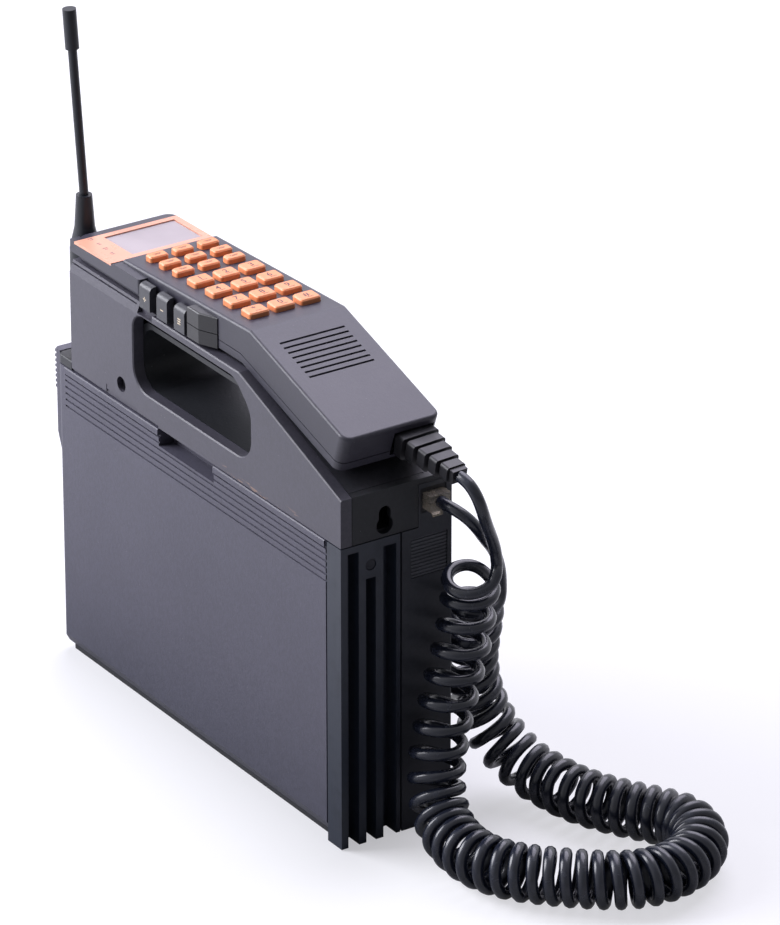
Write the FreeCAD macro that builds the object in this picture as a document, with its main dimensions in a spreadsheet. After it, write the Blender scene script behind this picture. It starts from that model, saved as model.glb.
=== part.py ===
"""Transportable cellular telephone: battery pack, transceiver, carrying console, handset and cord.

Everything is in millimetres. X runs along the case from the antenna to the heat sink, -Y is the
broad side that carries the battery pack and +Z is up. The origin is the middle of the case's foot,
on the surface that it stands on. Heights above the seam between case and console, and lengths from
the antenna end, are the driving sizes in the sheet called sizes.
"""
import FreeCAD, Part
import math
import os
import re

import Sketcher
from FreeCAD import Rotation, Vector

# ---------------------------------------------------------------------------------------------
# Driving sizes. Names that end in _x are measured from the antenna end of the case, names that
# end in _rise are heights above the seam, and names that end in _lift are heights above the
# underside of the handset.
# ---------------------------------------------------------------------------------------------
SIZES = {
    # case
    "body_length": 260.0,
    "body_width": 64.0,
    "body_height": 161.5,
    "case_corner": 4.0,
    "case_wall": 2.5,
    "seam_gap": 0.3,
    "running_gap": 0.3,
    "rail_height": 3.0,
    "rail_setback": 4.5,
    "chassis_wall": 2.6,
    "case_edge": 1.2,
    # battery pack
    "pack_gap": 1.0,
    "pack_back_gap": 0.8,
    "pack_wall": 2.4,
    "pack_chamfer": 4.0,
    "pack_chamfer_height": 9.5,
    "groove_count": 6.0,
    "groove_start_x": 7.8,
    "groove_pitch": 3.5,
    "groove_width": 1.0,
    "groove_depth": 0.7,
    "groove_drop": 3.7,
    "lip_groove_width": 1.3,
    "lip_groove_depth": 1.3,
    "lip_proud": 0.7,
    "lip_bevel": 0.5,
    "finger_start_x": 96.7,
    "finger_end_x": 147.4,
    "finger_height": 9.5,
    "finger_depth": 9.0,
    "cell_length": 49.0,
    "cell_gap": 0.8,
    "cell_spacing": 6.0,
    "contact_width": 7.0,
    "contact_height": 14.0,
    "contact_thickness": 0.5,
    "contact_inset": 14.0,
    "contact_drop": 60.0,
    "latch_width": 22.0,
    "latch_height": 55.0,
    "latch_thickness": 5.5,
    "latch_round": 2.5,
    "latch_taper": 3.3,
    "latch_taper_height": 8.8,
    "latch_rib_count": 8.0,
    "latch_rib_pitch": 2.8,
    "latch_rib_width": 1.4,
    "latch_rib_proud": 0.9,
    "latch_rib_inset": 0.9,
    # heat sink
    "sink_depth": 12.1,
    "sink_web": 3.2,
    "sink_width": 33.9,
    "skin": 3.9,
    "slot_one": 6.3,
    "fin_one": 4.1,
    "slot_two": 5.6,
    "fin_two": 4.3,
    "slot_three": 7.4,
    "slot_one_drop": 3.8,
    "slot_two_drop": 19.3,
    "slot_three_drop": 4.7,
    "screw_radius": 1.5,
    "screw_head_radius": 2.7,
    "screw_head_height": 1.6,
    "screw_length": 7.0,
    "screw_gap": 0.1,
    "screw_sink": 2.0,
    # transceiver housing
    "grille_side": 20.4,
    "grille_gap": 0.3,
    "grille_depth": 1.8,
    "grille_rib_count": 11.0,
    "grille_drop": 26.1,
    "grille_plate": 1.0,
    "grille_centre_y": 18.5,
    "speaker_radius": 9.0,
    "speaker_depth": 7.0,
    "board_start_x": 11.0,
    "board_end_inset": 23.0,
    "board_edge_inset": 10.7,
    "board_thickness": 1.6,
    "board_y": 16.0,
    "post_radius": 4.0,
    "post_inset": 8.0,
    "can_height": 8.0,
    "can_margin": 14.0,
    # modular socket and plug
    "jack_width": 14.4,
    "jack_height": 12.6,
    "jack_depth": 16.5,
    "jack_inset": 0.4,
    "jack_centre_y": 20.9,
    "jack_rise": 13.4,
    "plug_width": 11.7,
    "plug_height": 8.2,
    "plug_length": 19.0,
    "plug_out": 6.0,
    "plug_gap": 0.2,
    "lever_width": 5.8,
    "lever_root": 3.4,
    "lever_thickness": 1.0,
    "lever_drop": 3.8,
    "tower_length": 21.0,
    "tower_rise": 22.4,
    "tower_y": 12.3,
    # console
    "console_x": 14.5,
    "cover_thickness": 6.3,
    "ledge_rise": 5.0,
    "rim_rise": 60.5,
    "rim_end_x": 78.0,
    "rim_slant": 2.2,
    "rim_slant_height": 6.0,
    "rim_notch_end_x": 92.0,
    "rim_notch_depth": 3.0,
    "rim_notch_height": 3.0,
    "rim_line_drop": 1.3,
    "rim_line_width": 0.7,
    "rim_line_depth": 0.6,
    "foot_relief_height": 1.5,
    "foot_recess_start_x": 47.7,
    "foot_recess_end_x": 76.6,
    "foot_recess_height": 3.1,
    "foot_recess_depth": 0.9,
    "foot_mark_width": 0.7,
    "foot_mark_height": 5.5,
    "cover_bevel": 0.6,
    "bar_rise": 58.3,
    "slope_x": 170.8,
    "end_rise": 25.4,
    "rim_width": 3.4,
    "console_wall": 2.6,
    "end_wall": 3.0,
    "opening_start_x": 73.7,
    "opening_end_x": 181.2,
    "opening_rise": 13.7,
    "opening_top_rise": 54.3,
    "opening_side_rise": 41.0,
    "opening_slant": 14.0,
    "opening_round": 12.5,
    "opening_top_round": 9.0,
    "grip_drop": 8.6,
    "keyhole_radius": 4.7,
    "keyhole_neck": 3.4,
    "keyhole_rise": 6.5,
    "keyhole_length": 9.9,
    "keyhole_y": 7.0,
    "access_radius": 4.0,
    "access_x": 62.2,
    "access_rise": 10.7,
    "access_depth": 4.0,
    # cradle
    "tray_thickness": 2.4,
    "ear_cup_x": 43.0,
    "ear_cup_radius": 20.5,
    "ear_cup_depth": 8.0,
    "mouth_cup_setback": 34.0,
    "mouth_cup_length": 34.0,
    "mouth_cup_width": 38.0,
    "mouth_cup_depth": 6.0,
    "cup_wall": 2.0,
    "cup_gap": 0.5,
    "plunger_radius": 2.2,
    "plunger_x": 152.0,
    "plunger_y": 8.0,
    "plunger_stem": 9.0,
    "plunger_gap": 0.06,
    # antenna
    "antenna_x": 5.8,
    "antenna_inset": 14.5,
    "antenna_jack_radius": 5.4,
    "antenna_jack_flange": 6.0,
    "antenna_jack_inside": 6.0,
    "antenna_stem_radius": 3.0,
    "collar_radius": 7.8,
    "collar_start": 8.0,
    "collar_height": 13.2,
    "collar_gap": 0.08,
    "neck_radius": 4.4,
    "neck_height": 2.8,
    "boot_radius": 7.8,
    "boot_low": 32.0,
    "boot_taper": 11.5,
    "boot_waist_radius": 5.2,
    "boot_top_radius": 4.1,
    "boot_high": 17.0,
    "whip_radius": 2.3,
    "whip_length": 78.0,
    "whip_root": 8.0,
    "whip_lean": 3.1,
    "whip_bearing": 236.3,
    "tip_radius": 3.5,
    "tip_length": 21.0,
    # handset
    "handset_x": 15.2,
    "front_setback": 2.8,
    "handset_half": 27.5,
    "handset_gap": 2.8,
    "handset_wall": 2.2,
    "shoulder_lift": 11.2,
    "shoulder_slope": 0.02,
    "step_x": 57.0,
    "deck_lift": 14.4,
    "bend_shift": 3.2,
    "bend_lift": 19.1,
    "front_lift": -6.7,
    "parting_lift": 4.3,
    "parting_bend_shift": 4.8,
    "parting_setback": 5.3,
    "parting_front_lift": -21.3,
    "under_bend_shift": 3.6,
    "under_setback": 6.8,
    "under_front_lift": -25.6,
    "parting_gap": 0.4,
    "shell_edge": 1.6,
    "rail_edge": 1.0,
    "shell_corner": 5.0,
    "rail_out": 5.0,
    "rail_under_lift": 5.2,
    "rail_end_x": 146.0,
    "rail_bevel": 10.0,
    "block_x": 125.6,
    "block_parting_lift": 6.8,
    "block_under_lift": -0.6,
    "block_drop": 1.6,
    "ear_boss_radius": 19.5,
    "mouth_boss_length": 32.0,
    "mouth_boss_width": 36.0,
    "boss_bite": 1.0,
    "louvre_count": 8.0,
    "louvre_x": 186.4,
    "louvre_pitch": 3.65,
    "louvre_width": 1.2,
    "louvre_length": 37.0,
    "earpiece_radius": 13.0,
    "earpiece_height": 6.0,
    "sound_hole_radius": 1.2,
    "microphone_radius": 5.0,
    "microphone_height": 5.0,
    # display
    "bezel_start_x": 20.4,
    "bezel_end_x": 55.2,
    "bezel_thickness": 1.2,
    "bezel_proud": 0.3,
    "bezel_inset": 0.3,
    "window_start_x": 24.2,
    "window_end_x": 51.2,
    "window_low_y": -17.5,
    "window_high_y": 23.5,
    "window_drop": 0.6,
    "module_margin": 1.5,
    "module_thickness": 4.0,
    "module_gap": 0.2,
    # keys
    "key_gap": 0.25,
    "key_proud": 3.0,
    "key_travel": 1.2,
    "key_round": 1.7,
    "key_bevel": 0.7,
    "key_flange": 0.9,
    "key_flange_thickness": 1.0,
    "flange_gap": 0.4,
    "key_hole_round": 1.95,
    "key_column_pitch": 14.75,
    "key_centre_y": 1.0,
    "key_width": 11.5,
    "digit_key_length": 9.4,
    "digit_first_x": 108.6,
    "digit_pitch": 16.4,
    "function_key_width": 10.6,
    "function_key_length": 6.3,
    "function_first_x": 68.4,
    "function_pitch": 12.1,
    "keyboard_thickness": 1.6,
    "keyboard_margin": 4.5,
    "keyboard_side": 3.0,
    "keyboard_post_radius": 1.2,
    "keyboard_post_inset": 1.5,
    "side_key_first_x": 87.1,
    "side_key_pitch": 15.9,
    "side_key_length": 9.5,
    "side_key_proud": 0.4,
    "side_key_height": 13.0,
    "side_key_top_lift": 12.4,
    "side_key_round": 3.0,
    "side_key_travel": 1.0,
    "side_key_stem": 3.0,
    # strain relief and cord
    "relief_setback": 3.3,
    "relief_y": 13.0,
    "relief_lift": -17.3,
    "relief_segments": 5.0,
    "relief_pitch": 7.0,
    "relief_rib": 5.4,
    "relief_round": 1.6,
    "relief_width": 22.0,
    "relief_height": 11.6,
    "relief_end_width": 11.0,
    "relief_end_height": 8.2,
    "relief_core_width": 8.5,
    "relief_core_height": 6.6,
    "relief_neck": 6.0,
    "relief_tail": 3.2,
    "relief_gap": 0.4,
    "relief_pitch_angle": 9.2,
    "relief_yaw_angle": 4.0,
    "cable_radius": 3.0,
    "coil_radius": 14.5,
}

# Three stretches of the handset's cord, each a route of points chosen by hand, from the origin.
HANDSET_LEAD = [
    (160.0, 15.5, 199.5), (165.0, 15.9, 198.7), (169.0, 17.1, 195.4), (170.8, 18.9, 190.2),
    (170.4, 21.2, 184.4), (168.8, 23.8, 178.6), (166.6, 26.8, 172.8), (164.2, 30.2, 167.0),
    (162.2, 33.4, 160.8), (160.4, 36.2, 153.8), (159.4, 37.6, 146.4),
]
COIL = [
    (151.6, 29.5, 145.4), (151.6, 29.5, 131.0), (150.4, 26.5, 113.0), (149.0, 20.8, 91.0),
    (148.5, 14.5, 66.0), (149.0, 10.0, 44.0), (154.0, 7.0, 27.0), (166.0, 4.5, 16.5),
    (182.0, 2.0, 14.8), (199.0, 2.5, 14.6), (215.0, 9.5, 14.6), (228.0, 21.0, 14.6),
    (240.5, 34.0, 14.6), (251.0, 47.5, 14.6), (256.5, 62.0, 14.6), (255.8, 77.5, 14.6),
    (249.7, 92.5, 14.6), (237.2, 103.8, 14.6), (221.0, 107.0, 14.6), (207.0, 99.5, 14.6),
    (194.0, 91.0, 14.6), (180.3, 84.0, 14.6), (166.0, 78.8, 14.6), (151.0, 76.2, 15.0),
    (136.5, 71.5, 18.0), (122.5, 66.0, 28.0), (115.0, 60.4, 42.0), (112.8, 55.6, 58.0),
    (114.8, 51.8, 77.0), (123.5, 49.3, 100.0), (126.0, 49.0, 118.5),
]
PLUG_LEAD = [
    (136.0, 20.9, 175.3), (142.2, 20.9, 175.3), (148.2, 22.6, 174.4), (152.0, 26.4, 170.6),
    (152.4, 31.0, 164.8), (150.4, 35.4, 159.0), (147.0, 40.2, 153.4), (142.6, 45.4, 148.0),
    (138.6, 50.4, 142.0), (135.4, 54.8, 134.8), (133.4, 57.6, 127.2), (132.6, 58.6, 119.4),
]

DOC = FreeCAD.newDocument("cellular_bag_phone")
SHEET = DOC.addObject("Spreadsheet::Sheet", "sizes")
NODES = []

# Formulas that many pieces share.
HALF = "(body_width / 2)"
SEAM = "body_height"
TRAY = "(body_height + bar_rise)"
UNDER = "(body_height + bar_rise + handset_gap)"
ANTENNA_Y = "(antenna_inset - body_width / 2)"
PACK_END = "(body_length - sink_depth - pack_gap)"
PACK_FOOT = "(rail_height + running_gap)"
PACK_ROOF = "(body_height - seam_gap - finger_height - pack_wall)"
CELL_RADIUS = "((body_width / 2 - pack_back_gap - plug_gap * 3) / 2 - pack_wall)"
GRILLE_FOOT = "(body_height - grille_drop)"
BOARD_END = "(body_length - board_end_inset)"
FRONT = "(body_length - front_setback)"
BEND = "(slope_x + bend_shift)"
PARTING_BEND = "(slope_x - parting_bend_shift)"
PARTING_FRONT = "(body_length - front_setback - parting_setback)"
UNDER_BEND = "(slope_x - under_bend_shift)"
UNDER_FRONT = "(body_length - front_setback - under_setback)"
MOUTH = "(body_length - mouth_cup_setback)"
SINK_SCREW = "(body_height - slot_two_drop / 2 - screw_head_radius)"

# Where each shield can starts and ends along the board, as a share of its length.
CAN_SHARES = ((0.06, 0.50), (0.56, 0.94))

# Radius of the ring of corners that a new sketch starts from, before its constraints move them.
SKETCH_START = 100


def fill_sheet():
    """Write each driving size into the sheet with its name as the alias."""
    for row, (name, amount) in enumerate(SIZES.items(), start=1):
        SHEET.set(f"A{row}", name)
        SHEET.set(f"B{row}", str(amount))
        SHEET.setAlias(f"B{row}", name)
    DOC.recompute()


def cell(formula):
    """Turn a formula in the sheet's names into an expression of this document."""
    text = str(formula)
    return re.sub(r"[a-z][a-z_]+",
                  lambda found: "sizes." + found[0] if found[0] in SIZES else found[0], text)


def value(name):
    """The number that the sheet holds under this name."""
    return float(SHEET.get(name))


def along(x):
    """Place on the X axis of a length measured from the antenna end."""
    return f"({x} - body_length / 2)"


def bind(thing, **formulas):
    """Bind properties to formulas; x, y and z stand for the place of the object."""
    for name, formula in formulas.items():
        path = f"Placement.Base.{name}" if name in ("x", "y", "z") else name
        thing.setExpression(path, cell(formula))
    return thing


def box(name, x, y, z):
    """A box between a low and a high formula on each axis."""
    piece = DOC.addObject("Part::Box", name)
    bind(piece, x=x[0], y=y[0], z=z[0])
    return bind(
        piece,
        Length=f"({x[1]}) - ({x[0]})",
        Width=f"({y[1]}) - ({y[0]})",
        Height=f"({z[1]}) - ({z[0]})",
    )


AXIS_TURN = {
    "X": Rotation(Vector(0, 1, 0), 90),
    "Y": Rotation(Vector(1, 0, 0), -90),
    "Z": Rotation(),
}


def cylinder(name, axis, start, radius, length):
    """A cylinder that leaves its start point (three formulas) along +X, +Y or +Z."""
    piece = DOC.addObject("Part::Cylinder", name)
    piece.Placement = FreeCAD.Placement(Vector(), AXIS_TURN[axis])
    return bind(piece, x=start[0], y=start[1], z=start[2], Radius=radius, Height=length)


def cone(name, start, low_radius, high_radius, height):
    """An upright cone or taper."""
    piece = DOC.addObject("Part::Cone", name)
    bind(piece, x=start[0], y=start[1], z=start[2])
    return bind(piece, Radius1=low_radius, Radius2=high_radius, Height=height)


def outline(body, name, plane, points, offset):
    """A closed sketch of straight lines on one of the body's own origin planes."""
    sketch = body.newObject("Sketcher::SketchObject", name)
    origin_plane = [item for item in body.Origin.OriginFeatures if item.Role == f"{plane}_Plane"][0]
    sketch.AttachmentSupport = [(origin_plane, "")]
    sketch.MapMode = "FlatFace"
    sketch.setExpression("AttachmentOffset.Base.z", cell(offset))
    total = len(points)
    corners = [
        Vector(math.cos(2 * math.pi * i / total), math.sin(2 * math.pi * i / total), 0) * SKETCH_START
        for i in range(total)
    ]
    for i in range(total):
        sketch.addGeometry(Part.LineSegment(corners[i], corners[(i + 1) % total]), False)
    for i in range(total):
        sketch.addConstraint(Sketcher.Constraint("Coincident", i, 2, (i + 1) % total, 1))
    for i, point in enumerate(points):
        for kind, formula, start in zip(("DistanceX", "DistanceY"), point, (corners[i].x, corners[i].y)):
            index = sketch.addConstraint(Sketcher.Constraint(kind, -1, 1, i, 1, start))
            sketch.setExpression(f"Constraints[{index}]", cell(formula))
    return sketch


def prism(name, plane, points, low, high):
    """A body padded from an outline, between two places on the axis across its plane."""
    body = DOC.addObject("PartDesign::Body", name)
    offset = f"-({high})" if plane == "XZ" else low
    sketch = outline(body, name + "_outline", plane, points, offset)
    pad = body.newObject("PartDesign::Pad", name + "_pad")
    pad.Profile = sketch
    pad.setExpression("Length", cell(f"({high}) - ({low})"))
    return body


def current(shape_owner):
    """Recompute and give back the object's shape."""
    DOC.recompute()
    return shape_owner.Shape


def chosen_edges(owner, choose, curved):
    """Numbers of the edges for which choose(middle point, direction) is true."""
    picked = []
    for number, edge in enumerate(current(owner).Edges, start=1):
        if not curved and edge.Curve.TypeId != "Part::GeomLine":
            continue
        middle = edge.valueAt((edge.FirstParameter + edge.LastParameter) / 2)
        direction = edge.tangentAt(edge.FirstParameter)
        if choose(middle, direction):
            picked.append(number)
    return picked


def round_edges(owner, size, choose, kind="Fillet", curved=False):
    """Round or chamfer the chosen edges by a size of the sheet."""
    numbers = chosen_edges(owner, choose, curved)
    if owner.TypeId == "PartDesign::Body":
        last = owner.Tip
        feature = owner.newObject(f"PartDesign::{kind}", f"{owner.Name}_{kind.lower()}")
        feature.Base = (last, [f"Edge{number}" for number in numbers])
        feature.setExpression("Radius" if kind == "Fillet" else "Size", cell(size))
        return owner
    feature = DOC.addObject(f"Part::{kind}", f"{owner.Name}_{kind.lower()}")
    feature.Base = owner
    amount = value(size)
    feature.Edges = [(number, amount, amount) for number in numbers]
    return feature


def runs_along(direction, axis):
    """True where a direction lies along one of the three axes."""
    return abs(getattr(direction, axis)) > 0.999


def cut(name, base, *tools):
    """The base with every tool taken away."""
    result = base
    for number, tool in enumerate(tools):
        step = DOC.addObject("Part::Cut", f"{name}_cut_{number}")
        step.Base = result
        step.Tool = tool
        result = step
    return result


def fuse(name, *pieces):
    """One piece made of all the given ones."""
    joined = DOC.addObject("Part::MultiFuse", f"{name}_fuse")
    joined.Shapes = list(pieces)
    joined.Refine = True
    return joined


def group(name, *pieces):
    """Separate solids that share one node."""
    bundle = DOC.addObject("Part::Compound", f"{name}_group")
    bundle.Links = list(pieces)
    return bundle


def node(label, piece):
    """Name a finished sub-part and put it on the list that is written out."""
    piece.Label = label
    NODES.append(piece)
    return piece


# ---------------------------------------------------------------------------------------------
# Case: chassis, battery pack, transceiver housing and heat sink
# ---------------------------------------------------------------------------------------------
def make_chassis():
    """The upright wall between pack and transceiver, and the rail that the pack stands over."""
    wall = box("chassis_wall_plate", (along("running_gap"), along(PACK_END)),
               ("0", "chassis_wall"), ("0", f"{SEAM} - seam_gap"))
    rail = box("chassis_rail", (along("pack_chamfer"), along(PACK_END)),
               (f"-{HALF} + rail_setback", "chassis_wall / 2"), ("0", "rail_height"))
    node("chassis_frame", fuse("chassis", wall, rail))


def pack_blank():
    """The battery pack's outer form: a slab with a round antenna edge and a bevelled foot."""
    slab = box("pack_slab", (along("0"), along(PACK_END)),
               (f"-{HALF}", "-pack_back_gap"), (PACK_FOOT, f"{SEAM} - seam_gap"))
    left = -value("body_length") / 2
    near = -value("body_width") / 2
    rounded = round_edges(
        slab, "case_corner",
        lambda middle, way: runs_along(way, "z") and middle.x < left + 1 and middle.y < near + 1,
    )
    foot = prism("pack_foot_bevel", "YZ",
                 [(f"-{HALF} - 1", "0"), (f"-{HALF} + pack_chamfer", "0"),
                  (f"-{HALF} + pack_chamfer", "rail_height"), (f"-{HALF}", "pack_chamfer_height"),
                  (f"-{HALF} - 1", "pack_chamfer_height")],
                 along("-1"), along(f"{PACK_END} + 1"))
    return cut("pack_form", rounded, foot)


def groove(number):
    """The tool of one groove along the pack's face; the first, under the lip, is the deepest."""
    width = "groove_width" if number else "lip_groove_width"
    depth = "groove_depth" if number else "lip_groove_depth"
    top = f"{SEAM} - groove_drop - {number} * groove_pitch"
    return box(f"groove_{number}", (along("groove_start_x"), along(f"{PACK_END} + 1")),
               (f"-{HALF} - 1", f"-{HALF} + {depth}"), (f"{top} - {width}", top))


def make_battery():
    """Battery pack: open case and inner cover, with the cells, contacts and latch that it carries."""
    grooves = [groove(number) for number in range(int(value("groove_count")))]
    lip = prism("pack_lip", "YZ",
                [(f"-{HALF} - lip_proud", f"{SEAM} - groove_drop"),
                 (f"-{HALF} + 1", f"{SEAM} - groove_drop"),
                 (f"-{HALF} + 1", f"{SEAM} - seam_gap"),
                 (f"-{HALF} - lip_proud + lip_bevel", f"{SEAM} - seam_gap"),
                 (f"-{HALF} - lip_proud", f"{SEAM} - seam_gap - lip_bevel")],
                along("groove_start_x"), along(f"{PACK_END} - lip_bevel"))
    finger = box("finger_notch", (along("finger_start_x"), along("finger_end_x")),
                 (f"-{HALF} - 2", f"-{HALF} + finger_depth"), (f"{SEAM} - finger_height", f"{SEAM} + 1"))
    inner_foot = f"{PACK_FOOT} + pack_chamfer_height / 2"
    hollow = box("pack_hollow", (along("pack_wall"), along(f"{PACK_END} - pack_wall")),
                 (f"-{HALF} + pack_wall", "1 - pack_back_gap"), (inner_foot, PACK_ROOF))
    node("battery_case",
         cut("battery_case", fuse("lipped_pack", pack_blank(), lip), *grooves, finger, hollow))

    cover = box("pack_cover",
                (along("pack_wall + plug_gap"), along(f"{PACK_END} - pack_wall - plug_gap")),
                ("-pack_back_gap - pack_wall", "-pack_back_gap"),
                (f"{inner_foot} + plug_gap", f"{PACK_ROOF} - plug_gap"))
    node("battery_inner_cover", cover)
    make_cells(inner_foot)
    make_contacts()
    make_latch()


def make_cells(inner_foot):
    """As many cells as the pack's room holds, in rows that lie along the case."""
    pack = current(DOC.getObject("pack_hollow")).BoundBox
    step = value("cell_length") + value("cell_spacing")
    columns = int((pack.XLength + value("cell_spacing")) // step)
    depth = value("body_width") / 2 - value("pack_back_gap") - value("plug_gap") * 3
    rows = int(pack.ZLength // (depth - 2 * value("pack_wall") + value("cell_gap")))
    row_length = f"({columns} * (cell_length + cell_spacing) - cell_spacing)"
    cells = []
    for column in range(columns):
        for row in range(rows):
            start = (along(f"({PACK_END} - {row_length}) / 2 + {column} * (cell_length + cell_spacing)"),
                     f"-{HALF} + pack_wall + {CELL_RADIUS} + plug_gap",
                     f"{inner_foot} + {CELL_RADIUS} + plug_gap + {row} * ({CELL_RADIUS} * 2 + cell_gap)")
            cells.append(cylinder(f"cell_{column}_{row}", "X", start, CELL_RADIUS, "cell_length"))
    node("battery_cells", group("battery_cells", *cells))


def make_contacts():
    """Two contact strips on the pack's inner face."""
    contacts = []
    for number in range(2):
        low = along(f"{PACK_END} - pack_wall - contact_inset - {number} * contact_width * 2")
        foot = f"{SEAM} - contact_drop"
        contacts.append(box(f"contact_{number}", (low, f"{low} + contact_width"),
                            ("-pack_back_gap", "contact_thickness - pack_back_gap"),
                            (foot, f"{foot} + contact_height")))
    node("battery_contacts", group("battery_contacts", *contacts))


def make_latch():
    """The ribbed release plate on the pack's antenna end."""
    outer_face = along("-latch_thickness - running_gap")
    latch_y = (f"-{HALF} + case_corner / 2", f"-{HALF} + case_corner / 2 + latch_width")
    top = f"{SEAM} + ledge_rise"
    low = f"{top} - latch_height"
    plate = prism("latch_plate", "XZ",
                  [(along("-running_gap"), low), (along("-running_gap"), top), (outer_face, top),
                   (outer_face, f"{low} + latch_taper_height"), (f"{outer_face} + latch_taper", low)],
                  *latch_y)
    inner = -value("running_gap") - value("body_length") / 2
    plate = round_edges(plate, "latch_round",
                        lambda middle, way: middle.x < inner - 0.1 and abs(way.z) > 0.5)
    ribs = []
    for number in range(int(value("latch_rib_count"))):
        rib_top = f"{top} - latch_rib_width - {number} * latch_rib_pitch"
        ribs.append(box(f"latch_rib_{number}", (f"{outer_face} - latch_rib_proud", f"{outer_face} + 1"),
                        (f"{latch_y[0]} + latch_rib_inset", f"{latch_y[1]} - latch_rib_inset"),
                        (f"{rib_top} - latch_rib_width", rib_top)))
    node("battery_latch", fuse("battery_latch", plate, *ribs))


def make_heat_sink():
    """A cast block with three upright slots, open at the foot and each to its own height."""
    start = along("body_length - sink_depth")
    block = box("sink_block", (start, along("body_length")), (f"-{HALF}", f"-{HALF} + sink_width"),
                ("0", f"{SEAM} - seam_gap"))
    slot_depth = (f"{start} + sink_web", along("body_length + 1"))
    first = f"-{HALF} + skin"
    second = f"{first} + slot_one + fin_one"
    third = f"{second} + slot_two + fin_two"
    slots = [
        box("sink_slot_one", slot_depth, (first, f"{first} + slot_one"), ("-1", f"{SEAM} - slot_one_drop")),
        box("sink_slot_two", slot_depth, (second, f"{second} + slot_two"),
            ("-1", f"{SEAM} - slot_two_drop")),
        box("sink_slot_three", slot_depth, (third, f"{third} + slot_three"),
            ("-1", f"{SEAM} - slot_three_drop")),
    ]
    screw_place = (f"{start} - 1", f"{second} + slot_two / 2", SINK_SCREW)
    hole = cylinder("sink_hole", "X", screw_place, "screw_radius + screw_gap", "sink_depth + 2")
    seat = cylinder("sink_seat", "X", (along("body_length - screw_sink"), *screw_place[1:]),
                    "screw_head_radius + running_gap", "screw_sink + 1")
    node("heat_sink", cut("heat_sink", block, *slots, hole, seat))


def make_rear_shell():
    """The transceiver's housing: a deep tray, open towards the chassis, with the socket tower."""
    inner = "chassis_wall + running_gap"
    shell = box("shell_block", (along("0"), along("body_length")), (inner, HALF),
                ("0", f"{SEAM} - seam_gap"))
    left = -value("body_length") / 2
    far = value("body_width") / 2
    shell = round_edges(
        shell, "case_corner",
        lambda middle, way: runs_along(way, "z") and middle.x < left + 1 and middle.y > far - 1,
    )
    tower = box("shell_tower", (along("body_length - tower_length"), along("body_length")),
                ("tower_y", HALF), (f"{SEAM} - seam_gap - 1", f"{SEAM} + tower_rise"))
    blank = fuse("rear_shell", shell, tower)
    blank = round_edges(
        blank, "case_edge",
        lambda middle, way: middle.y > far - 0.1 and (middle.z < 0.1 or middle.x > 0.1 - left - 0.2),
    )
    hollow = box("shell_hollow", (along("case_wall"), along("body_length - case_wall")),
                 ("0", f"{HALF} - case_wall"), ("case_wall", f"{SEAM} - seam_gap - case_wall"))
    jack_z = (f"{SEAM} + jack_rise - jack_height / 2 - plug_gap",
              f"{SEAM} + jack_rise + jack_height / 2 + plug_gap")
    socket = box("socket_room",
                 (along("body_length - jack_depth - jack_inset * 2"), along("body_length + 1")),
                 ("jack_centre_y - jack_width / 2 - plug_gap",
                  "jack_centre_y + jack_width / 2 + plug_gap"), jack_z)
    half_grille = "(grille_side / 2 + grille_gap)"
    grille_z = (f"{GRILLE_FOOT} - grille_gap", f"{GRILLE_FOOT} + grille_side + grille_gap")
    recess = box("grille_recess", (along("body_length - grille_depth"), along("body_length + 1")),
                 (f"grille_centre_y - {half_grille}", f"grille_centre_y + {half_grille}"), grille_z)
    sound = cylinder("sound_hole", "X",
                     (along("body_length - case_wall - 1"), "grille_centre_y",
                      f"{GRILLE_FOOT} + grille_side / 2"),
                     "speaker_radius - 2", "case_wall + 2")
    hollowed = cut("rear_shell", blank, hollow, socket, recess, sound)
    posts = []
    for column, x in enumerate(("board_start_x + post_inset", f"{BOARD_END} - post_inset")):
        for row, z in enumerate(("board_edge_inset + post_inset",
                                 f"{SEAM} - board_edge_inset - post_inset")):
            posts.append(cylinder(f"post_{column}_{row}", "Y",
                                  (along(x), "board_y + board_thickness / 2", z), "post_radius",
                                  f"{HALF} - case_wall - board_y - board_thickness / 2 + 1"))
    node("rear_shell", fuse("rear_shell_posts", hollowed, *posts))


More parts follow.
